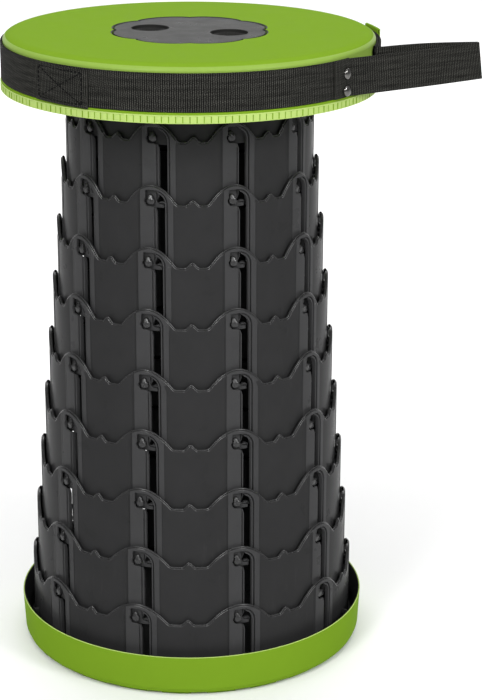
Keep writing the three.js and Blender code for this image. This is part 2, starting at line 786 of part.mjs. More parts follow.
const seat = new THREE.Group();
seat.add(piece('seat_cover', seatCover(), limePlastic));
seat.add(piece('seat_center', seatCenter(), blackPlastic));
seatScrewCentres().forEach((centre, i) => seat.add(piece(`seat_screw_${i + 1}`, seatScrew(centre), steel)));
seat.add(piece('strap_band', strapBand(), webbing));
seat.add(piece('strap_overlap', strapOverlap(), webbing));
seat.add(piece('strap_loop', strapLoop(), webbing));
const [upperRivet, lowerRivet] = rivetHeights();
seat.add(piece('rivet_upper', rivet(upperRivet), silver));
seat.add(piece('rivet_lower', rivet(lowerRivet), silver));
stool.add(seat);

export default stool;
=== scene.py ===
"""Looks of a collapsible telescopic stool: its pieces, finishes, light and camera.

Lengths are in millimetres unless a name says otherwise, and they turn into metres where a mesh
is made. An azimuth is in radians round +Z: 0 is the front, -Y, and it grows towards +X.
"""

import logging
import math
from collections.abc import Callable, Sequence
from dataclasses import dataclass, field
from enum import Enum
from functools import cache, partial

import bpy
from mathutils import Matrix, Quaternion, Vector
from mathutils.geometry import delaunay_2d_cdt


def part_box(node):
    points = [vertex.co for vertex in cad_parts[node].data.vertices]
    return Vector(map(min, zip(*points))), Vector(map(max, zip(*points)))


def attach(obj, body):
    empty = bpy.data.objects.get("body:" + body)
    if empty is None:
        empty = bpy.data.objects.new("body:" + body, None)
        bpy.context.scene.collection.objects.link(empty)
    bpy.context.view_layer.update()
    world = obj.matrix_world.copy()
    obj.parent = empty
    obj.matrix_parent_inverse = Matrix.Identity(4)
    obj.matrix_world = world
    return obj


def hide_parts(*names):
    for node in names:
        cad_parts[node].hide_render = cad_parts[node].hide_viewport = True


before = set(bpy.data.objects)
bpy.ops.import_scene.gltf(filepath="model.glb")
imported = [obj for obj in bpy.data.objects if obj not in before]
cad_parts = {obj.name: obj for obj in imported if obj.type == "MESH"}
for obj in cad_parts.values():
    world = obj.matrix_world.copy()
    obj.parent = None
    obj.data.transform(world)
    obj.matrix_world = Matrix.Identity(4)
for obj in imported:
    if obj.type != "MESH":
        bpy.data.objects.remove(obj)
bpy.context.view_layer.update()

LOG = logging.getLogger("stool")
MM = 0.001
TURN = 2 * math.pi
UP = Vector((0, 0, 1))
TINY = 1e-9
RING_COUNT = 10

# The largest angle between two faces that are shaded as one surface, in degrees.
SHARP_DEGREES = 38
# The longest share of a side that the fillet at one of its ends takes.
FILLET_SHARE = 0.49
# The least upward share of a facing that an upright row of an edge is set in by.
LEAST_RISE = 0.45
# The distance under which two points of a flat drawing are one, in mm.
DRAWING_TOLERANCE = 1e-7

Point = tuple[float, float]
Place = tuple[float, float, float]
Colour = tuple[float, float, float]
Axes = tuple[Vector, Vector, Vector]
Socket = bpy.types.NodeSocket
Material = bpy.types.Material


def around(radius: float, azimuth: float, height: float) -> Vector:
    """Gives the point, in metres, at a radius, an azimuth and a height."""
    return Vector((radius * math.sin(azimuth), -radius * math.cos(azimuth), height)) * MM


def outward(azimuth: float) -> Vector:
    """Gives the unit vector that points away from the axis at an azimuth."""
    return Vector((math.sin(azimuth), -math.cos(azimuth), 0))


def sideways(azimuth: float) -> Vector:
    """Gives the unit vector that points towards growing azimuth."""
    return Vector((math.cos(azimuth), math.sin(azimuth), 0))


def smooth(share: float) -> float:
    """Gives a soft step from 0 to 1 for a share, clamped to that range."""
    share = min(1.0, max(0.0, share))
    return share * share * (3 - 2 * share)


@cache
def low_z(node: str) -> float:
    """Gives the height of a node's lowest point, in mm."""
    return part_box(node)[0].z / MM


@cache
def high_z(node: str) -> float:
    """Gives the height of a node's highest point, in mm."""
    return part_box(node)[1].z / MM


# Meshes


@dataclass
class MeshDraft:
    """A mesh while it is drawn, in metres.

    Attributes:
        points: Its vertices.
        normals: A normal for each vertex, or nothing where Blender works it out.
        faces: Vertex numbers of each face, anticlockwise seen from outside.
        runs: Webbing coordinates of each vertex, along and across, in mm.
    """

    points: list[Vector] = field(default_factory=list)
    normals: list[Vector] = field(default_factory=list)
    faces: list[tuple[int, ...]] = field(default_factory=list)
    runs: list[Point] = field(default_factory=list)

    def add(self, point: Vector, normal: Vector | None = None) -> int:
        """Adds a vertex.

        Args:
            point: Its place, in metres.
            normal: Its normal, if it isn't left to Blender.

        Returns:
            The vertex's number.
        """
        self.points.append(point)
        if normal is not None:
            self.normals.append(normal.normalized())
        return len(self.points) - 1

    def strip(self, first: Sequence[int], second: Sequence[int], closed: bool = False) -> None:
        """Joins two rows of vertices with quads.

        Args:
            first: The row that lies to the right when its run is walked with the outside up.
            second: The row to the left, of the same length.
            closed: Whether the last vertices join the first ones.
        """
        count = len(first)
        for i in range(count if closed else count - 1):
            j = (i + 1) % count
            self.faces.append((first[i], first[j], second[j], second[i]))

    def grid(self, rows: Sequence[Sequence[int]], closed: bool = False) -> None:
        """Joins each row of vertices with the next one."""
        for first, second in zip(rows, rows[1:]):
            self.strip(first, second, closed)

    def cap(self, rows: Sequence[Sequence[int]]) -> None:
        """Closes a tube's first and last section."""
        self.faces.append(tuple(rows[0]))
        self.faces.append(tuple(reversed(rows[-1])))

    def tube(self, rows: Sequence[Sequence[int]]) -> None:
        """Joins closed sections that follow each other, and closes both ends."""
        self.grid([list(column) for column in zip(*rows, strict=True)] + [[row[0] for row in rows]])
        self.cap(rows)

    def make(self, name: str) -> bpy.types.Object:
        """Makes the Blender object.

        Args:
            name: The object's name.

        Returns:
            The new object, in the scene's collection.
        """
        mesh = bpy.data.meshes.new(name)
        mesh.from_pydata([tuple(p) for p in self.points], [], self.faces)
        mesh.validate(clean_customdata=False)
        mesh.shade_smooth()
        if self.runs:
            layer = mesh.uv_layers.new(name="webbing")
            for loop in mesh.loops:
                layer.data[loop.index].uv = self.runs[loop.vertex_index]
        if self.normals:
            mesh.normals_split_custom_set_from_vertices([tuple(n) for n in self.normals])
        else:
            mesh.set_sharp_from_angle(angle=math.radians(SHARP_DEGREES))
        piece = bpy.data.objects.new(name, mesh)
        bpy.context.scene.collection.objects.link(piece)
        if not self.normals:
            weighted = piece.modifiers.new("even_shading", "WEIGHTED_NORMAL")
            weighted.keep_sharp = True
        return piece


def dress(
    piece: bpy.types.Object,
    finish: Enum,
    body: str,
    nodes: Sequence[str] = (),
    others: Sequence[Enum] = (),
) -> bpy.types.Object:
    """Gives a piece its finish and the body that it rides on.

    Args:
        piece: The piece.
        finish: Its finish.
        body: The name of the body that carries it.
        nodes: The nodes that it stands for.
        others: Finishes that some of its faces take instead.

    Returns:
        The same piece.
    """
    for each in (finish, *others):
        piece.data.materials.append(each.material())
    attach(piece, body)
    if nodes:
        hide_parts(*nodes)
    LOG.info("%s: %d faces on %s", piece.name, len(piece.data.polygons), body)
    return piece


def rounded(corners: Sequence[Place], closed: bool, steps: int = 5) -> list[Point]:
    """Rounds the corners of an outline.

    Args:
        corners: Each corner's two coordinates and its fillet radius.
        closed: Whether the last corner joins the first one.
        steps: Straight pieces in each fillet.

    Returns:
        The outline's points.
    """
    outline: list[Point] = []
    count = len(corners)
    for i, (x, y, radius) in enumerate(corners):
        if radius <= 0 or (not closed and i in (0, count - 1)):
            outline.append((x, y))
            continue
        here = Vector((x, y))
        back = Vector(corners[i - 1][:2]) - here
        ahead = Vector(corners[(i + 1) % count][:2]) - here
        half = back.angle(ahead) / 2
        longest = FILLET_SHARE * min(back.length, ahead.length)
        reach = min(radius / math.tan(half), longest)
        fit = reach * math.tan(half)
        start, end = here + back.normalized() * reach, here + ahead.normalized() * reach
        inward = (back.normalized() + ahead.normalized()).normalized()
        centre = here + inward * (fit / math.sin(half))
        first, last = start - centre, end - centre
        sweep = first.angle_signed(last)
        for k in range(steps + 1):
            angle = -sweep * k / steps
            cos, sin = math.cos(angle), math.sin(angle)
            outline.append((
                centre.x + first.x * cos - first.y * sin,
                centre.y + first.x * sin + first.y * cos,
            ))
    return outline


def divided(outline: Sequence[Point], longest: float) -> list[Point]:
    """Splits an open outline's long stretches.

    Args:
        outline: Its points.
        longest: The longest stretch to leave, in mm.

    Returns:
        The points with the new ones among them.
    """
    points = [outline[0]]
    for (x0, y0), (x1, y1) in zip(outline, outline[1:]):
        parts = max(1, math.ceil(math.hypot(x1 - x0, y1 - y0) / longest - TINY))
        points += [
            (x0 + (x1 - x0) * k / parts, y0 + (y1 - y0) * k / parts) for k in range(1, parts + 1)
        ]
    return points


def circle(
    radius: float, count: int, centre: Sequence[float] = (0.0, 0.0), turn: float = TURN
) -> list[Point]:
    """Gives points evenly round a circle, clockwise where the turn is negative."""
    angles = [turn * k / count for k in range(count)]
    return [(centre[0] + radius * math.cos(a), centre[1] + radius * math.sin(a)) for a in angles]


@dataclass(frozen=True)
class RimRow:
    """One row of vertices round a moulded edge.

    Attributes:
        inset: Distance from the outline, into the wall.
        depth: Distance under the wall's outer face.
        lean: Degrees that the surface leans from the outer face's normal, away from the wall.
        flat: Its depth where the edge has no step, or nothing where that is the same.
    """

    inset: float
    depth: float
    lean: float
    flat: float | None = None

    def eased(self, share: float) -> tuple[float, float]:
        """Gives the row's depth and lean where the edge takes a share of its step."""
        if self.flat is None:
            return self.depth, self.lean
        return self.flat + (self.depth - self.flat) * share, 90 + (self.lean - 90) * share


def rim(*rows: Sequence[float]) -> list[RimRow]:
    """Gives the rows of an edge from the numbers of each."""
    return [RimRow(*row) for row in rows]


def round_rim(thickness: float, radius: float) -> list[RimRow]:
    """Gives the rows of a plain edge, from the wall's thickness and the radius of its corners."""
    near = radius * (1 - math.sqrt(0.5))
    return rim(
        (radius, 0, 0), (near, near, 45), (0, radius, 90), (0, thickness - radius, 90),
        (near, thickness - near, 135), (radius, thickness, 180),
    )


def grooved_rim(thickness: float) -> list[RimRow]:
    """Gives the rows of an edge with two lips and a groove, from the wall's thickness."""
    return rim(
        (1.5, 0, 0), (1.4, 0.04, 30), (0.98, 0.4, 50), (0.92, 0.52, 100), (1.1, 0.6, 170),
        (1.9, 0.66, 180), (2.05, 0.8, 90), (1.9, 1.02, -14), (0.62, 0.76, -14), (0.5, 0.76, 25),
        (0.1, 1.12, 50), (0, 1.32, 90), (0, thickness - 0.3, 90), (0.09, thickness - 0.09, 135),
        (0.3, thickness, 180),
    )


def stepped_rim(thickness: float, radius: float, step: float, rib: float) -> list[RimRow]:
    """Gives the rows of a rounded edge with a groove and a ledge in it, and a guide rib behind it.

    Args:
        thickness: The wall's thickness.
        radius: The radius of the outer corner.
        step: How far the ledge stands out.
        rib: How far the guide rib stands out of the inner face.

    Returns:
        The rows, from the outer face to the inner face.
    """
    near = radius * (1 - math.sqrt(0.5))
    bevel = 0.25
    back = thickness + rib
    return rim(
        (radius, 0, 0), (near, near, 45), (0, radius, 90), (0, 1.75, 90, 0.7),
        (-0.08, 1.9, 0, 0.85), (-0.66, 1.9, 0, 1.0), (-0.74, 1.75, -80, 1.15),
        (-0.74, 0.8, -80, 1.3), (-0.86, 0.65, 0, 1.45), (-(step - bevel), 0.65, 5, 1.6),
        (-step, 0.9, 80, 1.75), (-step, back - bevel, 90, thickness - 0.3),
        (-(step - bevel), back, 180, thickness), (-0.3, back, 180, thickness),
        (-0.1, thickness, 180, thickness),
    )


@dataclass
class Chain:
    """A stretch of a wall's outline, walked with the wall on its left.

    Attributes:
        points: Its points.
        rows: The rows of its moulded edge, or none where the wall goes on.
        closed: Whether it is a closed loop.
        upright: Whether its rows are set in straight down instead of square to it.
        swell: The share of a negative inset that each point takes, or nothing for all of it.
    """

    points: list[Point]
    rows: list[RimRow] = field(default_factory=list)
    closed: bool = False
    upright: bool = False
    swell: list[float] = field(default_factory=list)

    def facings(self) -> list[Vector]:
        """Finds which way is out of the wall.

        Returns:
            The unit vector away from the wall at each point.
        """
        count = len(self.points)
        result = []
        for i, point in enumerate(self.points):
            before = self.points[i - 1] if i or self.closed else point
            after = self.points[(i + 1) % count] if i < count - 1 or self.closed else point
            sides = (Vector(point) - Vector(before), Vector(after) - Vector(point))
            run = sum((side.normalized() for side in sides if side.length > TINY), Vector((0, 0)))
            result.append(Vector((run.y, -run.x)).normalized())
        return result

    def moved(self, row: RimRow, facings: Sequence[Vector]) -> list[Point]:
        """Sets the chain in for a row.

        Args:
            row: The row.
            facings: The chain's facings.

        Returns:
            The moved points.
        """
        if self.upright:
            return [
                (x, y - row.inset / max(LEAST_RISE, f.y)) for (x, y), f in zip(self.points, facings)
            ]
        shares = self.swell if row.inset < 0 and self.swell else [1.0] * len(self.points)
        return [
            (x - f.x * row.inset * share, y - f.y * row.inset * share)
            for (x, y), f, share in zip(self.points, facings, shares)
        ]


@dataclass
class Sheet:
    """A moulded wall of even thickness with an outline, drawn flat and laid on a surface.

    Attributes:
        chains: The outline's chains. Those that aren't closed follow each other.
        place: Gives a flat point's place, in metres, from its coordinates and its depth.
        lie: Gives the surface's two directions and its normal at a flat point.
        thickness: The wall's thickness.
        inner_points: Flat points inside the outline, for a surface that bends.
    """

    chains: list[Chain]
    place: Callable[[float, float, float], Vector]
    lie: Callable[[float, float, float], Axes]
    thickness: float
    inner_points: list[Point] = field(default_factory=list)

    def draw(self, draft: MeshDraft) -> None:
        """Adds the wall to a draft.

        Args:
            draft: The mesh to add to.
        """
        outer: list[list[int]] = []
        inner: list[list[int]] = []
        flat: list[list[Point]] = []
        for chain in self.chains:
            facings = chain.facings()
            rows = chain.rows or [RimRow(0, 0, 0), RimRow(0, self.thickness, 180)]
            numbers = [self._add_row(draft, chain, row, facings) for row in rows]
            if chain.rows:
                draft.grid(numbers[::-1], chain.closed)
            outer.append(numbers[0])
            inner.append(numbers[-1])
            flat.append(chain.moved(rows[0], facings))
        self._fill(draft, flat, outer, inner)

    def _add_row(
        self, draft: MeshDraft, chain: Chain, row: RimRow, facings: Sequence[Vector]
    ) -> list[int]:
        """Adds one row of vertices along a chain.

        Args:
            draft: The mesh to add to.
            chain: The chain.
            row: The row.
            facings: The chain's facings.

        Returns:
            The numbers of the vertices.
        """
        numbers = []
        spots = chain.moved(row, facings)
        for spot, facing, share in zip(spots, facings, chain.swell or [1.0] * len(spots)):
            depth, degrees = row.eased(share)
            lean = math.radians(degrees)
            first, second, normal = self.lie(*spot, depth)
            away = first * facing.x + second * facing.y
            turned = normal * math.cos(lean) + away * math.sin(lean)
            numbers.append(draft.add(self.place(*spot, depth), turned))
        return numbers

    def _add_pair(
        self, draft: MeshDraft, spot: Sequence[float], front: list[int], back: list[int]
    ) -> None:
        """Adds a vertex at a flat spot to the outer and to the inner face of the wall."""
        for numbers, depth, sign in ((front, 0.0, 1), (back, self.thickness, -1)):
            numbers.append(draft.add(self.place(*spot, depth), self.lie(*spot, depth)[2] * sign))

    def _fill(
        self,
        draft: MeshDraft,
        flat: list[list[Point]],
        outer: list[list[int]],
        inner: list[list[int]],
    ) -> None:
        """Fills the outline on both faces of the wall.

        Args:
            draft: The mesh to add to.
            flat: The flat points of each chain on the outer face.
            outer: Their vertices on the outer face.
            inner: Their vertices on the inner face.
        """
        spots = [spot for points in flat for spot in points]
        front = [number for numbers in outer for number in numbers]
        back = [number for numbers in inner for number in numbers]
        opened = [i for i, chain in enumerate(self.chains) if not chain.closed]
        edges = []
        firsts = []
        end = 0
        for chain, points in zip(self.chains, flat):
            firsts.append(end)
            edges += [(end + k, end + k + 1) for k in range(len(points) - 1)]
            end += len(points)
            if chain.closed:
                edges.append((end - 1, firsts[-1]))
        for i, j in zip(opened, opened[1:] + opened[:1]):
            edges.append((firsts[i] + len(flat[i]) - 1, firsts[j]))
        for spot in self.inner_points:
            spots.append(spot)
            self._add_pair(draft, spot, front, back)
        found, _, triangles, origins, _, _ = delaunay_2d_cdt(
            [Vector(spot) for spot in spots], edges, [], 0, DRAWING_TOLERANCE
        )
        numbers = []
        for spot, source in zip(found, origins):
            if not source:
                self._add_pair(draft, spot, front, back)
            numbers.append(source[0] if source else len(front) - 1)
        for triangle in triangles:
            centre = sum((found[v] for v in triangle), Vector((0, 0))) / 3
            if self._inside(centre, flat, opened):
                draft.faces.append(tuple(front[numbers[v]] for v in triangle))
                draft.faces.append(tuple(back[numbers[v]] for v in reversed(triangle)))

    def _inside(self, spot: Vector, flat: list[list[Point]], opened: list[int]) -> bool:
        """Tells whether a flat spot is on the wall, by counting the outlines that it crosses.

        Args:
            spot: The spot.
            flat: The flat points of each chain.
            opened: The numbers of the chains that follow each other.

        Returns:
            Whether the wall is there.
        """
        loops = [points for chain, points in zip(self.chains, flat) if chain.closed]
        if opened:
            loops.append([point for i in opened for point in flat[i]])
        crossings = 0
        for loop in loops:
            for (x0, y0), (x1, y1) in zip(loop, loop[1:] + loop[:1]):
                if (y0 > spot.y) != (y1 > spot.y):
                    crossings += spot.x < x0 + (spot.y - y0) * (x1 - x0) / (y1 - y0)
        return crossings % 2 == 1


@dataclass(frozen=True)
class RoundFace:
    """Where a flat drawing lies on an upright round face.

    Attributes:
        radius: The face's radius.
        azimuth: The azimuth of the drawing's middle.
        bottom: The height of the drawing's lower end.
    """

    radius: float
    azimuth: float
    bottom: float = 0.0

    def place(self, along: float, height: float, depth: float) -> Vector:
        """Lays a flat point under the face, in metres."""
        return around(self.radius - depth, self.azimuth + along / self.radius, self.bottom + height)

    def lie(self, along: float, height: float, depth: float) -> Axes:
        """Gives the face's two directions and its normal at a flat point."""
        azimuth = self.azimuth + along / self.radius
        return sideways(azimuth), UP, outward(azimuth)


def lathe(draft: MeshDraft, profile: Sequence[Point], columns: int) -> None:
    """Turns a closed profile round the stool's axis.

    Args:
        draft: The mesh to add to.
        profile: Points of radius and height, anticlockwise with radius to the right.
        columns: Columns of faces round the axis.
    """
    rows = [
        [draft.add(around(radius, TURN * i / columns, height)) for i in range(columns)]
        for radius, height in profile
    ]
    draft.grid(rows + rows[:1], closed=True)


def disc(
    draft: MeshDraft, profile: Sequence[Point], columns: int, place: Callable[[Vector], Vector]
) -> None:
    """Turns an open profile, from axis to axis, round its own axis.

    Args:
        draft: The mesh to add to.
        profile: Points of radius and height along the axis, from the low end to the high end.
        columns: Columns of faces round the axis.
        place: Moves a point from the profile's own axes to its place, in metres.
    """
    low = draft.add(place(Vector((0, 0, profile[0][1])) * MM))
    high = draft.add(place(Vector((0, 0, profile[-1][1])) * MM))
    rows = [
        [draft.add(place(Vector((x, y, height)) * MM)) for x, y in circle(radius, columns)]
        for radius, height in profile[1:-1]
    ]
    draft.grid(rows, closed=True)
    for i in range(columns):
        j = (i + 1) % columns
        draft.faces.append((low, rows[0][j], rows[0][i]))
        draft.faces.append((high, rows[-1][i], rows[-1][j]))


# Shader nodes


@dataclass
class NodeCanvas:
    """A node tree with short ways to add and join nodes."""

    tree: bpy.types.NodeTree

    def add(self, kind: str, **settings: object) -> bpy.types.Node:
        """Adds a node.

        Args:
            kind: The node's Blender type, without its ShaderNode start.
            settings: Attributes to set on it.

        Returns:
            The node.
        """
        node = self.tree.nodes.new(f"ShaderNode{kind}")
        for name, value in settings.items():
            setattr(node, name, value)
        return node

    def feed(self, socket: Socket, value: object) -> None:
        """Gives an input its source.

        Args:
            socket: The input.
            value: A socket to link, or a plain value to set.
        """
        if isinstance(value, Socket):
            self.tree.links.new(value, socket)
        else:
            socket.default_value = value

    def math(self, operation: str, *values: object) -> Socket:
        """Adds a Math node.

        Args:
            operation: Blender's name of the operation.
            values: Its inputs.

        Returns:
            Its output.
        """
        node = self.add("Math", operation=operation)
        for socket, value in zip(node.inputs, values):
            self.feed(socket, value)
        return node.outputs[0]

    def times(self, first: object, second: object) -> Socket:
        """Multiplies two values and gives the product."""
        return self.math("MULTIPLY", first, second)

    def plus(self, first: object, second: object) -> Socket:
        """Adds two values and gives the sum."""
        return self.math("ADD", first, second)

    def blend(self, share: object, first: object, second: object) -> Socket:
        """Mixes two colours.

        Args:
            share: The second colour's share.
            first: The first colour.
            second: The second colour.

        Returns:
            The mixed colour.
        """
        node = self.add("Mix", data_type="RGBA")
        self.feed(node.inputs["Factor"], share)
        for socket, colour in (("A", first), ("B", second)):
            self.feed(node.inputs[socket], (*colour, 1) if isinstance(colour, tuple) else colour)
        return node.outputs["Result"]

    def spread(self, value: object, source: Point, target: Point = (0, 1)) -> Socket:
        """Maps a range of values to another one, clamped.

        Args:
            value: The value.
            source: The ends of the range that it comes from.
            target: The ends of the range that it goes to.

        Returns:
            The mapped value.
        """
        node = self.add("MapRange", clamp=True)
        for socket, number in zip(node.inputs, (value, *source, *target)):
            self.feed(socket, number)
        return node.outputs["Result"]

    def noise(
        self, vector: object, scale: object, detail: float = 2, rough: float = 0.5
    ) -> Socket:
        """Adds a noise texture.

        Args:
            vector: Where it is read.
            scale: How many waves it has in a unit of length.
            detail: How many finer waves lie over the coarse one.
            rough: How strong the finer waves are.

        Returns:
            Its value.
        """
        node = self.add("TexNoise", noise_dimensions="3D")
        for name, value in {
            "Vector": vector, "Scale": scale, "Detail": detail, "Roughness": rough
        }.items():
            self.feed(node.inputs[name], value)
        return node.outputs["Fac"]

    def stretch(self, vector: object, scale: Place) -> Socket:
        """Stretches texture coordinates.

        Args:
            vector: The coordinates.
            scale: What each of them is multiplied by.

        Returns:
            The stretched coordinates.
        """
        node = self.add("Mapping")
        self.feed(node.inputs["Vector"], vector)
        self.feed(node.inputs["Scale"], scale)
        return node.outputs["Vector"]

    def bump(self, shader: bpy.types.Node, height: Socket, relief: float) -> None:
        """Gives a shader a relief.

        Args:
            shader: The shader.
            height: The height, from 0 to 1.
            relief: What a height of 1 stands for, in mm.
        """
        node = self.add("Bump")
        self.feed(node.inputs["Strength"], 1)
        self.feed(node.inputs["Distance"], relief * MM)
        self.feed(node.inputs["Height"], height)
        self.feed(shader.inputs["Normal"], node.outputs["Normal"])


def start_group(
    name: str, inputs: dict[str, float], outputs: Sequence[str]
) -> tuple[NodeCanvas, bpy.types.NodeOutputs, bpy.types.NodeInputs]:
    """Starts a shader node group with named sockets of one number each.

    Args:
        name: The group's name.
        inputs: The name and the first value of each input.
        outputs: The name of each output.

    Returns:
        The group's canvas, the sockets that its inputs come from, and those that its outputs go to.
    """
    tree = bpy.data.node_groups.new(name, "ShaderNodeTree")
    number = "NodeSocketFloat"
    for label, value in inputs.items():
        socket = tree.interface.new_socket(name=label, in_out="INPUT", socket_type=number)
        socket.default_value = value
    for label in outputs:
        tree.interface.new_socket(name=label, in_out="OUTPUT", socket_type=number)
    source, result = tree.nodes.new("NodeGroupInput"), tree.nodes.new("NodeGroupOutput")
    return NodeCanvas(tree), source.outputs, result.inputs


class Effect(Enum):
    """The surface effects that several finishes share."""

    GRAIN = "moulded_grain"
    HANDLING = "handling_marks"

    def tree(self) -> bpy.types.NodeTree:
        """Gives the effect's node group, built the first time."""
        if self.value not in bpy.data.node_groups:
            {Effect.GRAIN: build_grain, Effect.HANDLING: build_handling}[self]()
        return bpy.data.node_groups[self.value]

    def place(self, canvas: NodeCanvas, **values: float) -> bpy.types.Node:
        """Places the effect in a material.

        Args:
            canvas: The material's canvas.
            values: Input names, with _ for a space, and their values.

        Returns:
            The group node.
        """
        node = canvas.add("Group", node_tree=self.tree())
        for name, value in values.items():
            node.inputs[name.replace("_", " ").capitalize()].default_value = value
        return node


def build_grain() -> None:
    """Builds the fine spark-eroded grain and slow sink marks of a moulding."""
    sizes = {"Grain size": 0.5, "Grain depth": 1, "Wave depth": 1}
    canvas, source, result = start_group(Effect.GRAIN.value, sizes, ("Height", "Mottle"))
    place = canvas.add("TexCoord").outputs["Object"]
    fine_scale = canvas.math("DIVIDE", 1 / MM, source["Grain size"])
    fine = canvas.times(canvas.noise(place, fine_scale, detail=3), source["Grain depth"])
    wave = canvas.times(canvas.noise(place, scale=34, detail=1), source["Wave depth"])
    canvas.feed(result["Height"], canvas.plus(fine, wave))
    canvas.feed(result["Mottle"], canvas.noise(place, scale=60, detail=4, rough=0.6))


def build_handling() -> None:
    """Builds faint scuffs and dust that settle on a used surface."""
    canvas, source, result = start_group(Effect.HANDLING.value, {"Amount": 0.3}, ("Scuff", "Dust"))
    place = canvas.add("TexCoord").outputs["Object"]
    streaks = canvas.noise(canvas.stretch(place, (260, 260, 40)), scale=1, detail=3, rough=0.6)
    patch = canvas.spread(canvas.noise(place, scale=16), (0.45, 0.7))
    scuff = canvas.times(canvas.spread(streaks, (0.6, 0.78)), patch)
    facing = canvas.add("SeparateXYZ")
    canvas.feed(facing.inputs[0], canvas.add("NewGeometry").outputs["Normal"])
    level = canvas.spread(facing.outputs["Z"], (0.4, 1))
    dust = canvas.times(level, canvas.spread(canvas.noise(place, scale=900), (0.55, 0.8)))
    canvas.feed(result["Scuff"], canvas.times(scuff, source["Amount"]))
    canvas.feed(result["Dust"], canvas.times(dust, source["Amount"]))


# Finishes


def start_material(name: str) -> tuple[Material, NodeCanvas, bpy.types.Node]:
    """Starts a material with its nodes.

    Args:
        name: The material's name.

    Returns:
        The material, its canvas and its Principled BSDF.
    """
    material = bpy.data.materials.new(name)
    material.use_nodes = True
    canvas = NodeCanvas(material.node_tree)
    return material, canvas, material.node_tree.nodes["Principled BSDF"]


@dataclass(frozen=True)
class MouldedPlastic:
    """A coloured moulded plastic with a fine satin grain.

    Colours are linear and sizes in mm. Scuffs and dust turn the colour towards the worn one. The
    gloss is the specular level, where 0.5 is plain plastic.
    """

    name: str
    colour: Colour
    worn: Colour
    roughness: float = 0.42
    grain_size: float = 0.45
    grain_depth: float = 0.5
    wave_depth: float = 1.0
    bump_mm: float = 0.03
    shade_spread: float = 0.05
    rough_spread: float = 0.04
    scuffs: float = 0.3
    scuff_cover: float = 0.6
    scuff_roughness: float = 0.15
    gloss: float = 0.5

    def material(self) -> Material:
        """Builds the finish.

        Returns:
            The material.
        """
        material, canvas, shader = start_material(self.name)
        grain = Effect.GRAIN.place(
            canvas, grain_size=self.grain_size, grain_depth=self.grain_depth,
            wave_depth=self.wave_depth,
        )
        marks = Effect.HANDLING.place(canvas, amount=self.scuffs)
        mottle, scuff = grain.outputs["Mottle"], marks.outputs["Scuff"]
        darker = tuple(c * (1 - self.shade_spread) for c in self.colour)
        lighter = tuple(c * (1 + self.shade_spread) for c in self.colour)
        base = canvas.blend(mottle, darker, lighter)
        scuffed = canvas.blend(canvas.times(scuff, self.scuff_cover), base, self.worn)
        dusty = canvas.blend(marks.outputs["Dust"], scuffed, self.worn)
        canvas.feed(shader.inputs["Base Color"], dusty)
        ends = self.roughness - self.rough_spread, self.roughness + self.rough_spread
        rough = canvas.spread(mottle, (0.3, 0.7), ends)
        rough = canvas.plus(rough, canvas.times(scuff, self.scuff_roughness))
        canvas.feed(shader.inputs["Roughness"], rough)
        canvas.bump(shader, grain.outputs["Height"], self.bump_mm)
        shader.inputs["Specular IOR Level"].default_value = self.gloss
        return material


@dataclass(frozen=True)
class WovenWebbing:
    """Flat woven webbing: cross ribs with the warp yarns that pass over them.

    Its colour holds painted light: painted shade between the ribs and a painted sheen on their
    crowns. A pitch is a distance in mm. A lower fullness makes the crowns fuller, and a higher
    contrast deepens the painted shade below them.
    """

    name: str
    dark: Colour
    light: Colour
    rib_pitch: float = 1.45
    rib_waver: float = 0.9
    rib_fullness: float = 0.8
    yarn_pitch: float = 1.15
    band_pitch: float = 5.2
    band_depth: float = 0.09
    fibre_depth: float = 0.25
    contrast: float = 3
    bump_mm: float = 0.22
    gloss: float = 0.03

    def material(self) -> Material:
        """Builds the finish.

        Returns:
            The material.
        """
        material, canvas, shader = start_material(self.name)
        place = canvas.add("UVMap", uv_map="webbing").outputs["UV"]
        split = canvas.add("SeparateXYZ")
        canvas.feed(split.inputs[0], place)
        waver = canvas.math("SUBTRACT", canvas.noise(place, scale=0.35), 0.5)
        along = canvas.plus(split.outputs["X"], canvas.times(waver, self.rib_waver))
        rib = self.crowns(canvas, along, self.rib_pitch)
        row = canvas.math("FLOOR", canvas.math("DIVIDE", along, self.rib_pitch))
        shift = canvas.times(canvas.math("MODULO", row, 2), self.yarn_pitch / 2)
        yarn = self.crowns(canvas, canvas.plus(split.outputs["Y"], shift), self.yarn_pitch)
        full = canvas.math("POWER", rib, self.rib_fullness)
        crown = canvas.times(full, canvas.spread(yarn, (0, 0.7), (0.55, 1)))
        fibre = canvas.noise(place, scale=6, detail=3, rough=0.7)
        bands = canvas.math("SINE", canvas.times(split.outputs["Y"], TURN / self.band_pitch))
        streaks = canvas.noise(canvas.stretch(place, (0.05, 0.9, 1)), scale=1)
        tone = canvas.spread(fibre, (0.3, 0.75), (0.4, 1.1))
        tone = canvas.plus(tone, canvas.times(bands, self.band_depth))
        tone = canvas.plus(tone, canvas.spread(streaks, (0.35, 0.65), (-0.25, 0.2)))
        # Painted light: the crowns turn to the light colour as a painted sheen and the hollows stay
        # dark as painted shade; the fibre, band and streak tones are the yarn's own.
        shade = canvas.times(canvas.math("POWER", crown, self.contrast), tone)
        canvas.feed(shader.inputs["Base Color"], canvas.blend(shade, self.dark, self.light))
        canvas.feed(shader.inputs["Roughness"], canvas.spread(fibre, (0.3, 0.7), (0.62, 0.8)))
        canvas.bump(shader, canvas.plus(crown, canvas.times(fibre, self.fibre_depth)), self.bump_mm)
        shader.inputs["Specular IOR Level"].default_value = self.gloss
        return material

    @staticmethod
    def crowns(canvas: NodeCanvas, place: Socket, pitch: float) -> Socket:
        """Gives a row of round crowns, from 0 between them to 1 on top."""
        return canvas.math("ABSOLUTE", canvas.math("SINE", canvas.times(place, math.pi / pitch)))


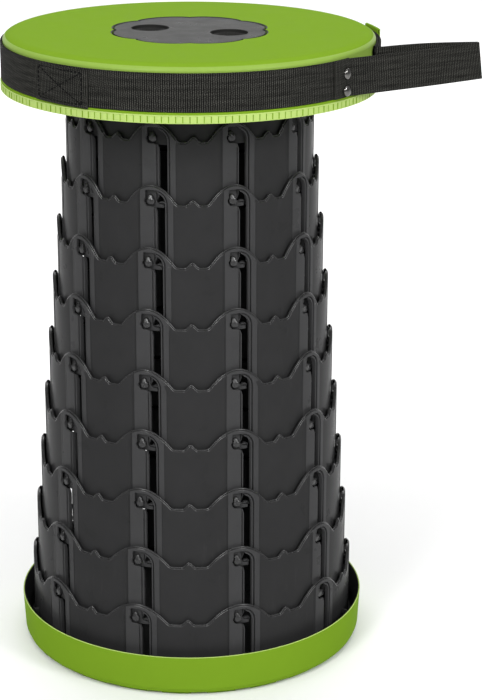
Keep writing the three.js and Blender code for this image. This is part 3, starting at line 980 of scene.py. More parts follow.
@dataclass(frozen=True)
class Thread:
    """Sewing thread, twisted from fine fibres with shining crowns."""

    name: str
    colour: Colour
    shine: Colour
    bump_mm: float = 0.08
    gloss: float = 0.08

    def material(self) -> Material:
        """Builds the finish.

        Returns:
            The material.
        """
        material, canvas, shader = start_material(self.name)
        twist = canvas.noise(canvas.add("TexCoord").outputs["Object"], scale=2200)
        canvas.feed(shader.inputs["Base Color"], canvas.blend(twist, self.colour, self.shine))
        canvas.feed(shader.inputs["Roughness"], canvas.spread(twist, (0.3, 0.7), (0.55, 0.75)))
        canvas.bump(shader, twist, self.bump_mm)
        shader.inputs["Specular IOR Level"].default_value = self.gloss
        return material


@dataclass(frozen=True)
class PlatedMetal:
    """A plated or polished metal with fine scratches and dull tarnished spots."""

    name: str
    colour: Colour
    dull: Colour
    roughness: float = 0.2
    scuffs: float = 0.8
    scuff_roughness: float = 0.3
    bump_mm: float = 0.01

    def material(self) -> Material:
        """Builds the finish.

        Returns:
            The material.
        """
        material, canvas, shader = start_material(self.name)
        marks = Effect.HANDLING.place(canvas, amount=self.scuffs)
        grain = Effect.GRAIN.place(canvas, grain_size=0.2, grain_depth=0.4, wave_depth=0.4)
        tarnished = canvas.blend(grain.outputs["Mottle"], self.colour, self.dull)
        canvas.feed(shader.inputs["Base Color"], tarnished)
        scuffed = canvas.times(marks.outputs["Scuff"], self.scuff_roughness)
        canvas.feed(shader.inputs["Roughness"], canvas.plus(scuffed, self.roughness))
        canvas.bump(shader, grain.outputs["Height"], self.bump_mm)
        shader.inputs["Metallic"].default_value = 1
        return material


class Finish(Enum):
    """Every finish of the stool."""

    LIME = MouldedPlastic(
        "lime_plastic", (0.17, 0.303, 0.018), (0.32, 0.48, 0.08), roughness=0.45, grain_size=0.5,
        grain_depth=0.35, bump_mm=0.03, shade_spread=0.03, scuffs=0.06, gloss=0.002,
    )
    # A lighter, slightly glossier copy of the lime: the lighter colour is a painted highlight on
    # the bead's lower half.
    LIME_BEAD_HIGHLIGHT = MouldedPlastic(
        "lime_bead_painted_highlight", (0.24, 0.375, 0.06), (0.32, 0.48, 0.08), roughness=0.36,
        grain_size=0.5, grain_depth=0.3, bump_mm=0.03, shade_spread=0.03, scuffs=0.06, gloss=0.12,
    )
    # A lighter copy of the lime: a painted highlight on the ribbed edge's flats and on the hoop's
    # rim top.
    LIME_EDGE_HIGHLIGHT = MouldedPlastic(
        "lime_edge_painted_highlight", (0.4, 0.54, 0.15), (0.5, 0.62, 0.25), roughness=0.5, grain_size=0.5,
        grain_depth=0.35, bump_mm=0.03, shade_spread=0.03, scuffs=0.12, gloss=0.05,
    )
    BLACK = MouldedPlastic(
        "black_plastic", (0.028, 0.028, 0.0285), (0.08, 0.08, 0.08), roughness=0.3, grain_size=0.4,
        grain_depth=0.4, bump_mm=0.03, shade_spread=0.14, scuffs=0.35, gloss=0.02,
    )
    PAD = MouldedPlastic(
        "pad_plastic", (0.045, 0.045, 0.046), (0.12, 0.12, 0.12), roughness=0.3, grain_size=0.4,
        grain_depth=0.4, bump_mm=0.03, shade_spread=0.12, scuffs=0.35, gloss=0.04,
    )
    LIP = MouldedPlastic(
        "lip_plastic", (0.024, 0.024, 0.0245), (0.1, 0.1, 0.1), roughness=0.26, grain_size=0.4,
        grain_depth=0.3, bump_mm=0.02, shade_spread=0.1, scuffs=0.3, gloss=0.36,
    )
    CENTRE = MouldedPlastic(
        "centre_plastic", (0.022, 0.022, 0.021), (0.1, 0.1, 0.1), roughness=0.3, grain_size=0.5,
        grain_depth=0.4, bump_mm=0.03, shade_spread=0.08, scuffs=0.25, gloss=0.025,
    )
    WEBBING = WovenWebbing("black_webbing", (0.0025, 0.0025, 0.0024), (0.085, 0.085, 0.075))
    THREAD = Thread("black_thread", (0.001, 0.001, 0.001), (0.006, 0.006, 0.006))
    RIVET = PlatedMetal(
        "rivet_metal", (0.2, 0.197, 0.19), (0.12, 0.118, 0.11), roughness=0.14,
    )
    SCREW = PlatedMetal(
        "screw_steel", (0.6, 0.61, 0.62), (0.42, 0.42, 0.42), roughness=0.32,
    )

    @cache
    def material(self) -> Material:
        """Gives the finish's material, built the first time."""
        return self.value.material()


# Telescopic rings


@dataclass
class SlottedRing:
    """A ring of the column: scalloped on top, with a J-shaped opening in each tenth.

    Each tenth is drawn flat, with its origin under the middle of the pocket that holds a stud, and
    laid round the wall. Heights count from the ring's lower edge.

    Attributes:
        pad_left: The left end of the raised pad round the opening.
        ledge: How far the ledge in the slot's sides stands out.
        guide_rib: How far the rib behind the slot's sides stands out of the inner face.
        band_drop: The height of the grooved band along the scalloped edge.
    """

    number: int
    body: str
    first_radius: float = 83.4
    radius_step: float = 3.9
    wall: float = 2.35
    openings: int = 10
    first_turn: float = 1.35
    turn_step: float = -0.36
    hump_offset: float = 0.5
    hump_half: float = 11.4
    hump_height: float = 13.5
    hump_power: float = 2.0
    hump_foot: float = 0.07
    peak_height: float = 3.8
    peak_half: float = 4.7
    peak_tip: float = 0.3
    peak_foot: float = 0.12
    pocket_height: float = 48.1
    top_height: float = 58.7
    pocket_left: float = -4.1
    pocket_floor: float = -4.2
    pocket_top: float = 6.9
    slot_left: float = 3.05
    slot_right: float = 12.35
    hook_reach: float = 5.35
    hook_height: float = 2.4
    arch_drop: float = 9.3
    arch_gap: float = 0.75
    pad_left: float = -6.9
    pad_right: float = 16.2
    panel_sink: float = 0.4
    panel_ramp: float = 0.6
    corner: float = 0.5
    ledge: float = 1.85
    guide_rib: float = 1.3
    relief_left: float = -3.35
    relief_right: float = 3.2
    relief_depth: float = 1.15
    seam_depth: float = 0.35
    band_drop: float = 1.5
    mesh_step: float = 2.6
    mesh_rise: float = 4.0
    mesh_gap: float = 1.2

    @property
    def outer(self) -> float:
        """The wall's outer radius."""
        return self.first_radius + self.radius_step * (self.number - 1)

    @property
    def bottom(self) -> float:
        """The height of the ring's lower edge."""
        return low_z(f"ring_{self.number}")

    @property
    def turn(self) -> float:
        """The ring's turn about the axis."""
        return math.radians(self.first_turn + self.turn_step * (self.number - 1))

    @property
    def sector_start(self) -> float:
        """Where a tenth of the ring starts on the flat drawing."""
        return (math.radians(self.hump_offset) - math.pi / self.openings) * self.outer

    @property
    def sector_end(self) -> float:
        """Where a tenth of the ring ends on the flat drawing."""
        return (math.radians(self.hump_offset) + math.pi / self.openings) * self.outer

    def edge_height(self, along: float) -> float:
        """Gives the scalloped edge's height.

        Args:
            along: Distance from the pocket's middle on the flat drawing.

        Returns:
            The height above the ring's lower edge.
        """
        valley = self.top_height - self.hump_height
        angle = math.degrees(along / self.outer)
        fall = 1 - (abs(angle - self.hump_offset) / self.hump_half) ** self.hump_power
        hump = self.hump_height * (fall + math.hypot(fall, self.hump_foot)) / 2
        nearest = min(abs(along - self.sector_start), abs(along - self.sector_end)) / self.peak_half
        if nearest >= 1.6:
            return valley + hump
        flank = (1 - math.hypot(nearest, self.peak_tip)) / (1 - self.peak_tip)
        return valley + hump + self.peak_height * (flank + math.hypot(flank, self.peak_foot)) / 2

    def sink(self, along: float) -> tuple[float, float]:
        """Gives how far the panel between two openings lies under the raised pad.

        Args:
            along: Distance from the pocket's middle on the flat drawing.

        Returns:
            The depth and its slope.
        """
        width = self.panel_ramp
        share = max((self.pad_left - along) / width, (along - self.pad_right) / width)
        sign = -1 if along < 0 else 1
        slope = sign * self.panel_sink * 1.5 / width if 0 < share < 1 else 0.0
        seam = self.seam_depth * max(0.0, 1 - abs(2 * share - 1))
        return self.panel_sink * smooth(share) + seam, slope

    def band_floor(self, along: float) -> float:
        """Gives the height of the edge band's lower end, from the distance along the drawing."""
        slope = (self.edge_height(along + 0.1) - self.edge_height(along - 0.1)) / 0.2
        return self.edge_height(along) - self.band_drop * min(math.hypot(1, slope), 1 / LEAST_RISE)

    def ledge_share(self, along: float, height: float) -> float:
        """Gives how far the ledge has grown at a point of the opening's outline.

        Args:
            along: Distance from the pocket's middle on the flat drawing.
            height: Height above the ring's lower edge.

        Returns:
            The share, from 0 at the pocket, the arch and the lower edge to 1 along the slot.
        """
        if not self.slot_left - 0.3 < along < self.slot_right + 0.1:
            return 0.0
        if along < self.slot_left + 0.3:
            floor = self.pocket_height + self.pocket_floor
            return smooth((height - 4) / 3) * smooth((floor - 0.6 - height) / 1.2)
        return smooth((height - 0.8) / 2) * smooth((along - self.slot_left - 0.5) / 2.5)

    def ramp(self, edge: float, sign: int) -> list[float]:
        """Gives the start, the middle and the end of the ramp that a pad's end runs into."""
        return [edge + sign * self.panel_ramp * k / 2 for k in range(3)]

    def lower_outline(self) -> list[Point]:
        """Draws the lower edge and the J-shaped opening that runs into it.

        Returns:
            The points, from the tenth's start to its end.
        """
        base = self.pocket_height
        floor, top = base + self.pocket_floor, base + self.pocket_top
        left, slot_left, slot_right = self.pocket_left, self.slot_left, self.slot_right
        hook = slot_left + self.hook_reach
        arch_start = slot_left + 0.4
        arch = []
        for k in range(10):
            angle = math.pi / 2 * (1 - k / 9)
            x = arch_start + (slot_right - arch_start) * math.cos(angle)
            fall = top - self.arch_drop * (1 - math.sin(angle))
            arch.append((x, min(fall, self.band_floor(x) - self.arch_gap), 0))
        opening = rounded([
            (self.pad_left, 0, 0),
            (self.relief_left - 0.05, 0, 0),
            (self.relief_left + 0.05, 0, 0),
            (hook, 0, 0.7),
            (hook, self.hook_height, 0.9),
            (slot_left, self.hook_height + 0.3, 5.2),
            (slot_left, floor - 0.6, 0.9),
            (slot_left - 1.6, floor, 1.0),
            (left + 1.9, floor, 2.2),
            (left, base - 1.4, 2.2),
            (left, base + 0.2, 0.8),
            (left + 0.8, base + 1.2, 0.8),
            (left + 0.8, top, 1.0),
            *arch,
            (slot_right, 0, 0.7),
            (self.pad_right, 0, 0),
        ], closed=False)
        start = [self.sector_start, *self.ramp(self.pad_left, -1)[:0:-1]]
        end = [*self.ramp(self.pad_right, 1)[1:], self.sector_end]
        return divided([(x, 0.0) for x in start] + opening + [(x, 0.0) for x in end], 3.2)

    def upper_outline(self) -> list[Point]:
        """Draws the scalloped edge.

        Returns:
            The points, from the tenth's end back to its start.
        """
        peak = [self.peak_half * 1.5 * k / 12 for k in range(13)]
        stations = {self.sector_start + x for x in peak} | {self.sector_end - x for x in peak}
        inner_start, inner_end = self.sector_start + peak[-1], self.sector_end - peak[-1]
        count = 44
        stations |= {inner_start + (inner_end - inner_start) * k / count for k in range(1, count)}
        for edge, sign in ((self.pad_left, -1), (self.pad_right, 1)):
            middle = sign * self.panel_ramp / 2
            stations = {s for s in stations if abs(s - edge - middle) > self.panel_ramp}
            stations |= set(self.ramp(edge, sign))
        return [(x, self.edge_height(x)) for x in sorted(stations, reverse=True)]

    def inner_points(self, lower: Sequence[Point]) -> list[Point]:
        """Spreads points over the wall so that it bends evenly.

        Args:
            lower: The lower outline, which the points keep clear of.

        Returns:
            Flat points inside the outline.
        """
        fixed = self.ramp(self.pad_left, -1) + self.ramp(self.pad_right, 1)
        fixed += [self.relief_left - 0.05, self.relief_left + 0.05]
        width = self.sector_end - self.sector_start
        count = math.floor(width / self.mesh_step)
        even = [self.sector_start + width * k / count for k in range(1, count)]
        columns = fixed + [x for x in even if min(abs(x - c) for c in fixed) > self.mesh_step * 0.4]
        points = []
        for x in columns:
            limit = self.edge_height(x) - self.band_drop - 1.8
            for k in range(1, math.ceil(self.top_height / self.mesh_rise)):
                z = self.mesh_rise * k
                clear = min(math.hypot(x - px, z - pz) for px, pz in lower)
                if z < limit and clear > self.mesh_gap and not self.in_opening(x, z):
                    points.append((x, z))
        return points

    def in_opening(self, along: float, height: float) -> bool:
        """Tells whether a flat point is in the opening or within 1 mm of it.

        Args:
            along: Distance from the pocket's middle on the flat drawing.
            height: Height above the ring's lower edge.

        Returns:
            Whether it is.
        """
        floor, top = self.pocket_height + self.pocket_floor, self.pocket_height + self.pocket_top
        if not self.pocket_left - 1 < along < self.slot_right + 1 or height >= top + 1:
            return False
        return along > self.slot_left - 1 or height > floor - 1

    def build(self) -> None:
        """Builds and dresses the ring."""
        draft = MeshDraft()
        lower, upper = self.lower_outline(), self.upper_outline()
        points = self.inner_points(lower)
        slot_rim = stepped_rim(self.wall, self.corner, self.ledge, self.guide_rib)
        swell = [self.ledge_share(x, z) for x, z in lower]
        side_low = self.corner
        side_high = self.edge_height(self.sector_end) - self.band_drop
        side = [side_low + (side_high - side_low) * k / 12 for k in range(1, 12)]
        for i in range(self.openings):
            middle = (i + 0.5) * TURN / self.openings + self.turn
            Sheet(
                chains=[
                    Chain(lower, slot_rim, swell=swell),
                    Chain([(self.sector_end, z) for z in side]),
                    Chain(upper, grooved_rim(self.wall), upright=True),
                    Chain([(self.sector_start, z) for z in reversed(side)]),
                ],
                place=partial(self.place, middle),
                lie=partial(self.lie, middle),
                thickness=self.wall,
                inner_points=points,
            ).draw(draft)
        ring = draft.make(f"slotted_ring_{self.number}")
        dress(
            ring, Finish.BLACK, self.body, [f"ring_{self.number}"],
            others=[Finish.PAD, Finish.LIP],
        )
        self.shade(ring)

    def shade(self, ring: bpy.types.Object) -> None:
        """Gives the edge bands and the raised pads their own finishes.

        Args:
            ring: The ring, with the finishes of panels, pads and bands.
        """
        sector = TURN / self.openings * self.outer
        for face in ring.data.polygons:
            azimuth = math.atan2(face.center.x, -face.center.y) - self.turn
            azimuth -= math.pi / self.openings
            along = (azimuth * self.outer - self.sector_start) % sector + self.sector_start
            if face.center.z / MM - self.bottom > self.band_floor(along) + 0.07:
                face.material_index = 2
            elif self.pad_left < along < self.pad_right:
                face.material_index = 1

    def place(self, middle: float, along: float, height: float, depth: float) -> Vector:
        """Lays a flat point on the wall.

        Args:
            middle: The azimuth of the drawing's origin.
            along: Distance from the pocket's middle on the flat drawing.
            height: Height above the ring's lower edge.
            depth: Distance under the raised pad's face.

        Returns:
            The point, in metres.
        """
        if self.relief_left < along < self.relief_right:
            depth = min(depth, self.relief_depth)
        share = max(0.0, 1 - 2 * depth / self.wall)
        radius = self.outer - depth - self.sink(along)[0] * share
        return around(radius, middle + along / self.outer, self.bottom + height)

    def lie(self, middle: float, along: float, _: float, depth: float) -> Axes:
        """Finds how the wall lies at a flat point, at any height.

        Args:
            middle: The azimuth of the drawing's origin.
            along: Distance from the pocket's middle on the flat drawing.
            depth: Distance under the raised pad's face.

        Returns:
            The wall's two directions and its normal.
        """
        azimuth = middle + along / self.outer
        slope = self.sink(along)[1] if depth < self.wall / 2 else 0.0
        side = sideways(azimuth)
        return side, UP, (outward(azimuth) + side * slope).normalized()


@dataclass
class Studs:
    """The studs near a ring's lower edge, which hang in the pockets of the next ring.

    Attributes:
        rise: The height of a stud's middle over the ring's lower edge.
        slope: How fast its face falls back towards its upper end.
    """

    ring: SlottedRing
    rise: float = 5.8
    body_radius: float = 2.75
    body_drop: float = 0.95
    nub_radius: float = 1.7
    nub_rise: float = 2.0
    nub_shift: float = -0.5
    reach: float = 2.55
    root: float = 0.5
    slope: float = 0.42
    edge: float = 0.5
    points: int = 28

    def outline(self) -> list[Point]:
        """Draws a stud: a round body with a smaller nub on its upper left.

        Returns:
            The points.
        """
        low, high = Vector((0, -self.body_drop)), Vector((self.nub_shift, self.nub_rise))
        result = []
        for x, y in circle(1, self.points):
            direction = Vector((x, y))
            reach = max(
                self._reach(direction, low, self.body_radius),
                self._reach(direction, high, self.nub_radius),
            )
            result.append((direction.x * reach, direction.y * reach))
        return result

    @staticmethod
    def _reach(direction: Vector, centre: Vector, radius: float) -> float:
        """Gives how far a ray from the origin reaches in a circle, or 0 where it misses it."""
        along = direction.dot(centre)
        inside = radius**2 - (centre.length_squared - along**2)
        return along + math.sqrt(inside) if inside > 0 else 0.0

    def build(self) -> None:
        """Builds and dresses the ring's studs."""
        ring = self.ring
        draft = MeshDraft()
        outline = self.outline()
        layers = [
            (1.0, -self.root), (1.0, self.reach - self.edge), (0.9, self.reach - self.edge * 0.25),
            (0.74, self.reach), (0.35, self.reach),
        ]
        for i in range(ring.openings):
            azimuth = (i + 0.5) * TURN / ring.openings + ring.turn + math.radians(ring.turn_step)
            rows = []
            for scale, depth in layers:
                row = []
                for x, z in outline:
                    x, z = x * scale, z * scale
                    radius = ring.outer + (depth - self.slope * max(0.0, z - 0.1) * (depth > 0))
                    spot = around(radius, azimuth + x / ring.outer, ring.bottom + self.rise + z)
                    row.append(draft.add(spot))
                rows.append(row)
            draft.grid(rows, closed=True)
            centre = draft.add(around(ring.outer + self.reach, azimuth, ring.bottom + self.rise))
            for a, b in zip(rows[-1], rows[-1][1:] + rows[-1][:1]):
                draft.faces.append((a, b, centre))
        dress(draft.make(f"studs_{ring.number}"), Finish.LIP, ring.body)


@dataclass
class InnerRing:
    """The plain innermost ring with the flange that is screwed under the seat.

    Attributes:
        ring: The sizes that it shares with the slotted rings.
    """

    ring: SlottedRing
    flange_width: float = 9.0
    flange_thickness: float = 2.5

    def build(self) -> None:
        """Builds and dresses the ring."""
        outer, inner = self.ring.outer, self.ring.outer - self.ring.wall
        bottom, top = self.ring.bottom, high_z("ring_1")
        under = top - self.flange_thickness
        lip = inner - self.flange_width
        draft = MeshDraft()
        lathe(draft, rounded([
            (inner, bottom, 0.3), (outer, bottom, 0.3), (outer, top, 0.3), (lip, top, 0.3),
            (lip, under, 0.3), (inner, under, 0.8),
        ], closed=True, steps=3), 240)
        dress(draft.make("inner_ring"), Finish.BLACK, self.ring.body, ["ring_1"])


@dataclass
class TroughLugs:
    """The lugs on the outermost ring, which stand in the trough of the base.

    Attributes:
        ring: The ring that carries them.
        slope: How much lower its right side is.
    """

    ring: SlottedRing
    width: float = 1.8
    height: float = 20.0
    slope: float = 0.6
    reach: float = 3.4

    def build(self) -> None:
        """Builds and dresses the lugs."""
        ring = self.ring
        draft = MeshDraft()
        thickness = self.reach + 0.5
        half = self.width / 2
        outline = rounded([
            (-half, 0.2, 0.2), (half, 0.2, 0.2), (half, self.height - self.slope, 0.8),
            (-half, self.height, 0.8),
        ], closed=True, steps=4)
        for i in range(ring.openings):
            middle = i * TURN / ring.openings + math.radians(ring.hump_offset) + ring.turn
            face = RoundFace(ring.outer + self.reach, middle, ring.bottom)
            chain = Chain(outline, round_rim(thickness, 0.35), closed=True)
            Sheet([chain], face.place, face.lie, thickness).draw(draft)
        dress(draft.make("trough_lugs"), Finish.BLACK, ring.body)


# Seat


@dataclass
class SeatCover:
    """The lime cover: a flat top with a rounded bead, and a skirt with a ribbed edge.

    Attributes:
        hole_radius: The largest radius of the rosette's hole.
        lobe_power: How full the lobes are, fuller where it is smaller.
        groove_share: A groove's share of a flat's pitch.
    """

    hole_radius: float = 55.3
    dish: float = 1.0
    dish_drop: float = 0.7
    lobes: int = 8
    notch: float = 4.2
    lobe_power: float = 0.6
    plate: float = 2.9
    bead_width: float = 9.0
    bead_height: float = 4.8
    wall_radius: float = 129.3
    wall: float = 2.7
    edge_radius: float = 131.6
    edge_height: float = 5.6
    lip_height: float = 1.4
    lip_inset: float = 0.6
    flats: int = 180
    groove_depth: float = 0.4
    groove_share: float = 0.13
    groove_top_gap: float = 0.8
    groove_bottom_gap: float = 0.5

    @property
    def top(self) -> float:
        """The height of the flat top."""
        return high_z("seat_cover")

    @property
    def ribbed_top(self) -> float:
        """The height of the ribbed edge's upper end."""
        return low_z("seat_cover") + self.edge_height

    @property
    def groove_low(self) -> float:
        """The height of the grooves' lower end."""
        return low_z("seat_cover") + self.groove_bottom_gap

    @property
    def groove_high(self) -> float:
        """The height of the grooves' upper end."""
        return self.ribbed_top - self.groove_top_gap

    def flower(self, azimuth: float, radius: float) -> float:
        """Gives the rosette's radius at an azimuth, from its largest radius."""
        swell = abs(math.sin(self.lobes * azimuth / 2)) ** self.lobe_power
        return radius - self.notch * (1 - swell)

    def profile(self) -> list[Point]:
        """Draws half of the cover's section.

        Returns:
            Points of radius and height, from the hole's lower end round the outside.
        """
        top, bottom = self.top, low_z("seat_cover")
        ceiling = top - self.plate
        inner, edge = self.wall_radius - self.wall, self.edge_radius
        lip, lip_top = edge - self.lip_inset, self.ribbed_top + self.lip_height
        grooves = (
            self.groove_low, self.groove_low + 0.25, self.groove_high - 0.25, self.groove_high
        )
        bead = [
            (
                self.wall_radius - self.bead_width * (1 - math.cos(a)),
                top - self.bead_height * (1 - math.sin(a)),
                0,
            )
            for a in (math.pi / 2 * k / 12 for k in range(13))
        ]
        return rounded([
            (self.hole_radius, ceiling, 0.3), (inner, ceiling, 1.5), (inner, bottom, 0.5),
            (edge, bottom, 0.4), *[(edge, height, 0) for height in grooves],
            (edge, self.ribbed_top, 0.35), (lip, self.ribbed_top, 0.15), (lip, lip_top, 0.4),
            (self.wall_radius, lip_top, 0.4), *bead,
            (self.hole_radius + 8, top, 0), (self.hole_radius + self.dish, top, 0.8),
            (self.hole_radius, top - self.dish_drop, 0.3),
        ], closed=True, steps=6)

    def shaped(self, radius: float, height: float, azimuth: float, half: float) -> float:
        """Shapes the rosette's hole and the grooves between the flats.

        Args:
            radius: The section's radius.
            height: Its height.
            azimuth: The azimuth.
            half: Half a groove's width, in radians.

        Returns:
            The cover's radius there.
        """
        if radius < self.hole_radius + 5:
            return radius - self.hole_radius + self.flower(azimuth, self.hole_radius)
        pitch = TURN / self.flats
        offset = (azimuth + pitch / 2) % pitch - pitch / 2
        on_flats = abs(radius - self.edge_radius) < 0.01
        in_grooves = self.groove_low + 0.1 < height < self.groove_high - 0.1
        return radius - self.groove_depth * (on_flats and in_grooves and abs(offset) < half)

    def build(self) -> None:
        """Builds and dresses the cover."""
        profile = self.profile()
        pitch = TURN / self.flats
        half = pitch * self.groove_share / 2
        azimuths = []
        for i in range(self.flats):
            azimuths += [i * pitch, i * pitch + half, i * pitch + pitch / 2, (i + 1) * pitch - half]
        draft = MeshDraft()
        rows = [
            [draft.add(around(self.shaped(radius, height, a, half), a, height)) for a in azimuths]
            for radius, height in profile
        ]
        draft.grid(rows + rows[:1], closed=True)
        # Besides the plain lime, the cover takes the lighter limes of its painted highlights and
        # the black of the painted shadow round the rosette.
        shell = dress(
            draft.make("seat_shell"), Finish.LIME, "seat", ["seat_cover"],
            others=[Finish.LIME_EDGE_HIGHLIGHT, Finish.LIME_BEAD_HIGHLIGHT, Finish.BLACK],
        )
        self.shade(shell, profile, len(azimuths))

    def shade(self, shell: bpy.types.Object, profile: Sequence[Point], columns: int) -> None:
        """Paints highlights with the lighter limes on the ribbed edge's flats and the bead's lower
        half, and a shadow with black on the dished ring.

        Args:
            shell: The cover, with the finishes of its top, its painted edge and bead highlights,
                and the black of its painted shadow.
            profile: The section that it was turned from.
            columns: Columns of faces round the axis.
        """
        lip, lip_top = self.edge_radius - self.lip_inset, self.ribbed_top + self.lip_height
        for face in shell.data.polygons:
            segment, column = divmod(face.index, columns)
            ends = profile[segment], profile[(segment + 1) % len(profile)]
            radius, height = ((a + b) / 2 for a, b in zip(*ends))
            grooved = column % 4 in (0, 3) and self.groove_low < height < self.groove_high
            # The bead's lower half, which takes the painted highlight.
            bead_highlight_band = lip_top < height < self.top - self.bead_height * 0.36
            # The ribbed edge's flats take a lighter lime as a painted highlight; the grooves keep
            # the plain lime.
            if radius > lip + 0.1 and height < self.ribbed_top and not grooved:
                face.material_index = 1
            elif radius > self.wall_radius - self.bead_width and bead_highlight_band:
                face.material_index = 2
            # The dished ring round the rosette is painted black: a painted shadow of the gap round
            # the rosette.
            elif radius < self.hole_radius + self.dish and height > self.top - self.dish_drop - 0.4:
                face.material_index = 3


@dataclass
class SeatCentre:
    """The black rosette in the seat, with two finger holes and its clamping plate.

    Attributes:
        lift: How far its face stands over the solid's.
        ledge: How far the ledge in a hole reaches in.
        plate_overlap: How far it reaches in from the cover's hole.
    """

    cover: SeatCover
    radius: float = 54.3
    edge: float = 0.45
    lift: float = 0.55
    hole_radius: float = 13.0
    hole_spacing: float = 58.0
    hole_turn: float = -19.0
    hole_edge: float = 0.5
    hole_sides: int = 64
    ledge: float = 2.4
    sleeve_wall: float = 1.8
    plate: float = 2.5
    plate_radius: float = 83.0
    plate_overlap: float = 7.0

    @property
    def top(self) -> float:
        """The height of the rosette's face."""
        return high_z("seat_center") + self.lift

    @property
    def thickness(self) -> float:
        """The rosette's thickness, down to ring 1's flange."""
        return self.top - (high_z("ring_1") + 0.3)

    def hole_centres(self) -> list[Vector]:
        """Gives the centres of the two finger holes."""
        angle = math.radians(self.hole_turn)
        offset = Vector((math.cos(angle), math.sin(angle))) * self.hole_spacing / 2
        return [offset, -offset]

    def hole_rim(self) -> list[RimRow]:
        """Gives the rows of a finger hole, with the ledge round its lower part.

        Returns:
            The rows, from the rosette's face down.
        """
        edge, ledge = self.hole_edge, self.ledge
        return rim(
            (edge, 0, 0), (edge * 0.3, edge * 0.3, 45), (0, edge, 90), (0, 1.9, 90),
            (-0.15, 2.25, 50), (-ledge * 0.35, 2.6, 25), (-ledge * 0.7, 2.9, 35),
            (-ledge * 0.95, 3.4, 65), (-ledge, 4.0, 90), (-ledge, self.thickness, 90),
        )

    def build(self) -> None:
        """Builds and dresses the rosette and what holds it under the cover."""
        steps = 288
        outline = []
        for azimuth in (TURN * i / steps for i in range(steps)):
            reach = self.cover.flower(azimuth, self.radius)
            outline.append((reach * math.sin(azimuth), -reach * math.cos(azimuth)))
        top, thickness = self.top, self.thickness
        chains = [Chain(outline, round_rim(thickness, self.edge), closed=True)]
        for centre in self.hole_centres():
            hole = circle(self.hole_radius, self.hole_sides, centre, turn=-TURN)
            chains.append(Chain(hole, self.hole_rim(), closed=True))
        draft = MeshDraft()
        Sheet(
            chains=chains,
            place=lambda x, y, depth: Vector((x, y, top - depth)) * MM,
            lie=lambda x, y, depth: (Vector((1, 0, 0)), Vector((0, 1, 0)), UP),
            thickness=thickness,
        ).draw(draft)
        dress(draft.make("seat_rosette"), Finish.CENTRE, "seat", ["seat_center"])
        self.build_plate()

    def build_plate(self) -> None:
        """Builds and dresses the sleeves of the finger holes and the plate under the cover."""
        bottom, plate_low = low_z("seat_center"), self.top - self.thickness
        plate_top = plate_low + self.plate - 0.3
        inner, outer = self.hole_radius, self.hole_radius + self.sleeve_wall
        section = [
            (inner, plate_top), (inner, bottom + 0.3), (inner + 0.3, bottom),
            (outer - 0.3, bottom), (outer, bottom + 0.3), (outer, plate_top - 1),
        ]
        under = MeshDraft()
        for centre in self.hole_centres():
            rows = [
                [
                    under.add(Vector((x, y, height)) * MM)
                    for x, y in circle(radius, self.hole_sides, centre)
                ]
                for radius, height in section
            ]
            under.grid(rows[::-1], closed=True)
        lip = self.cover.hole_radius - self.plate_overlap
        lathe(under, rounded([
            (lip, plate_low, 0.2), (self.plate_radius, plate_low, 0.3),
            (self.plate_radius, plate_top, 0.3), (lip, plate_top, 0.2),
        ], closed=True, steps=2), 180)
        dress(under.make("seat_clamp_plate"), Finish.BLACK, "seat")


# Strap


@dataclass
class Ribbon:
    """A length of flat webbing along a path, standing on its edge.

    Attributes:
        path: Points of its middle line, with x, y and the height of its lower edge, in mm.
        width: The webbing's width.
        thickness: Its thickness.
        edge: The radius of its edges.
        start: Its coordinate along the webbing where it starts.
    """

    path: list[Vector]
    width: float
    thickness: float
    edge: float = 0.45
    start: float = 0.0

    def section(self) -> list[Point]:
        """Draws the section.

        Returns:
            Points across the thickness and up the width.
        """
        half, edge = self.thickness / 2, self.edge
        shape = rounded([
            (half, 0, edge), (half, self.width, edge), (-half, self.width, edge), (-half, 0, edge),
        ], closed=True, steps=3)
        points = []
        for a, b in zip(shape, shape[1:] + shape[:1]):
            points.append(a)
            if abs(b[1] - a[1]) > self.width / 2:
                points += [(a[0], a[1] + (b[1] - a[1]) * k / 6) for k in range(1, 6)]
        return points

    def draw(self, draft: MeshDraft) -> None:
        """Adds the webbing to a draft.

        Args:
            draft: The mesh to add to.
        """
        section = self.section()
        rows = []
        run = self.start
        for i, here in enumerate(self.path):
            before, after = self.path[max(i - 1, 0)], self.path[min(i + 1, len(self.path) - 1)]
            along = (after - before).xy.normalized()
            side = Vector((along.y, -along.x))
            run += (here - before).length
            row = []
            for across, up in section:
                spot = here.xy + side * across
                row.append(draft.add(Vector((spot.x, spot.y, here.z + up)) * MM))
                draft.runs.append((run, up if across > 0 else self.width * 2 - up))
            rows.append(row)
        draft.tube(rows)


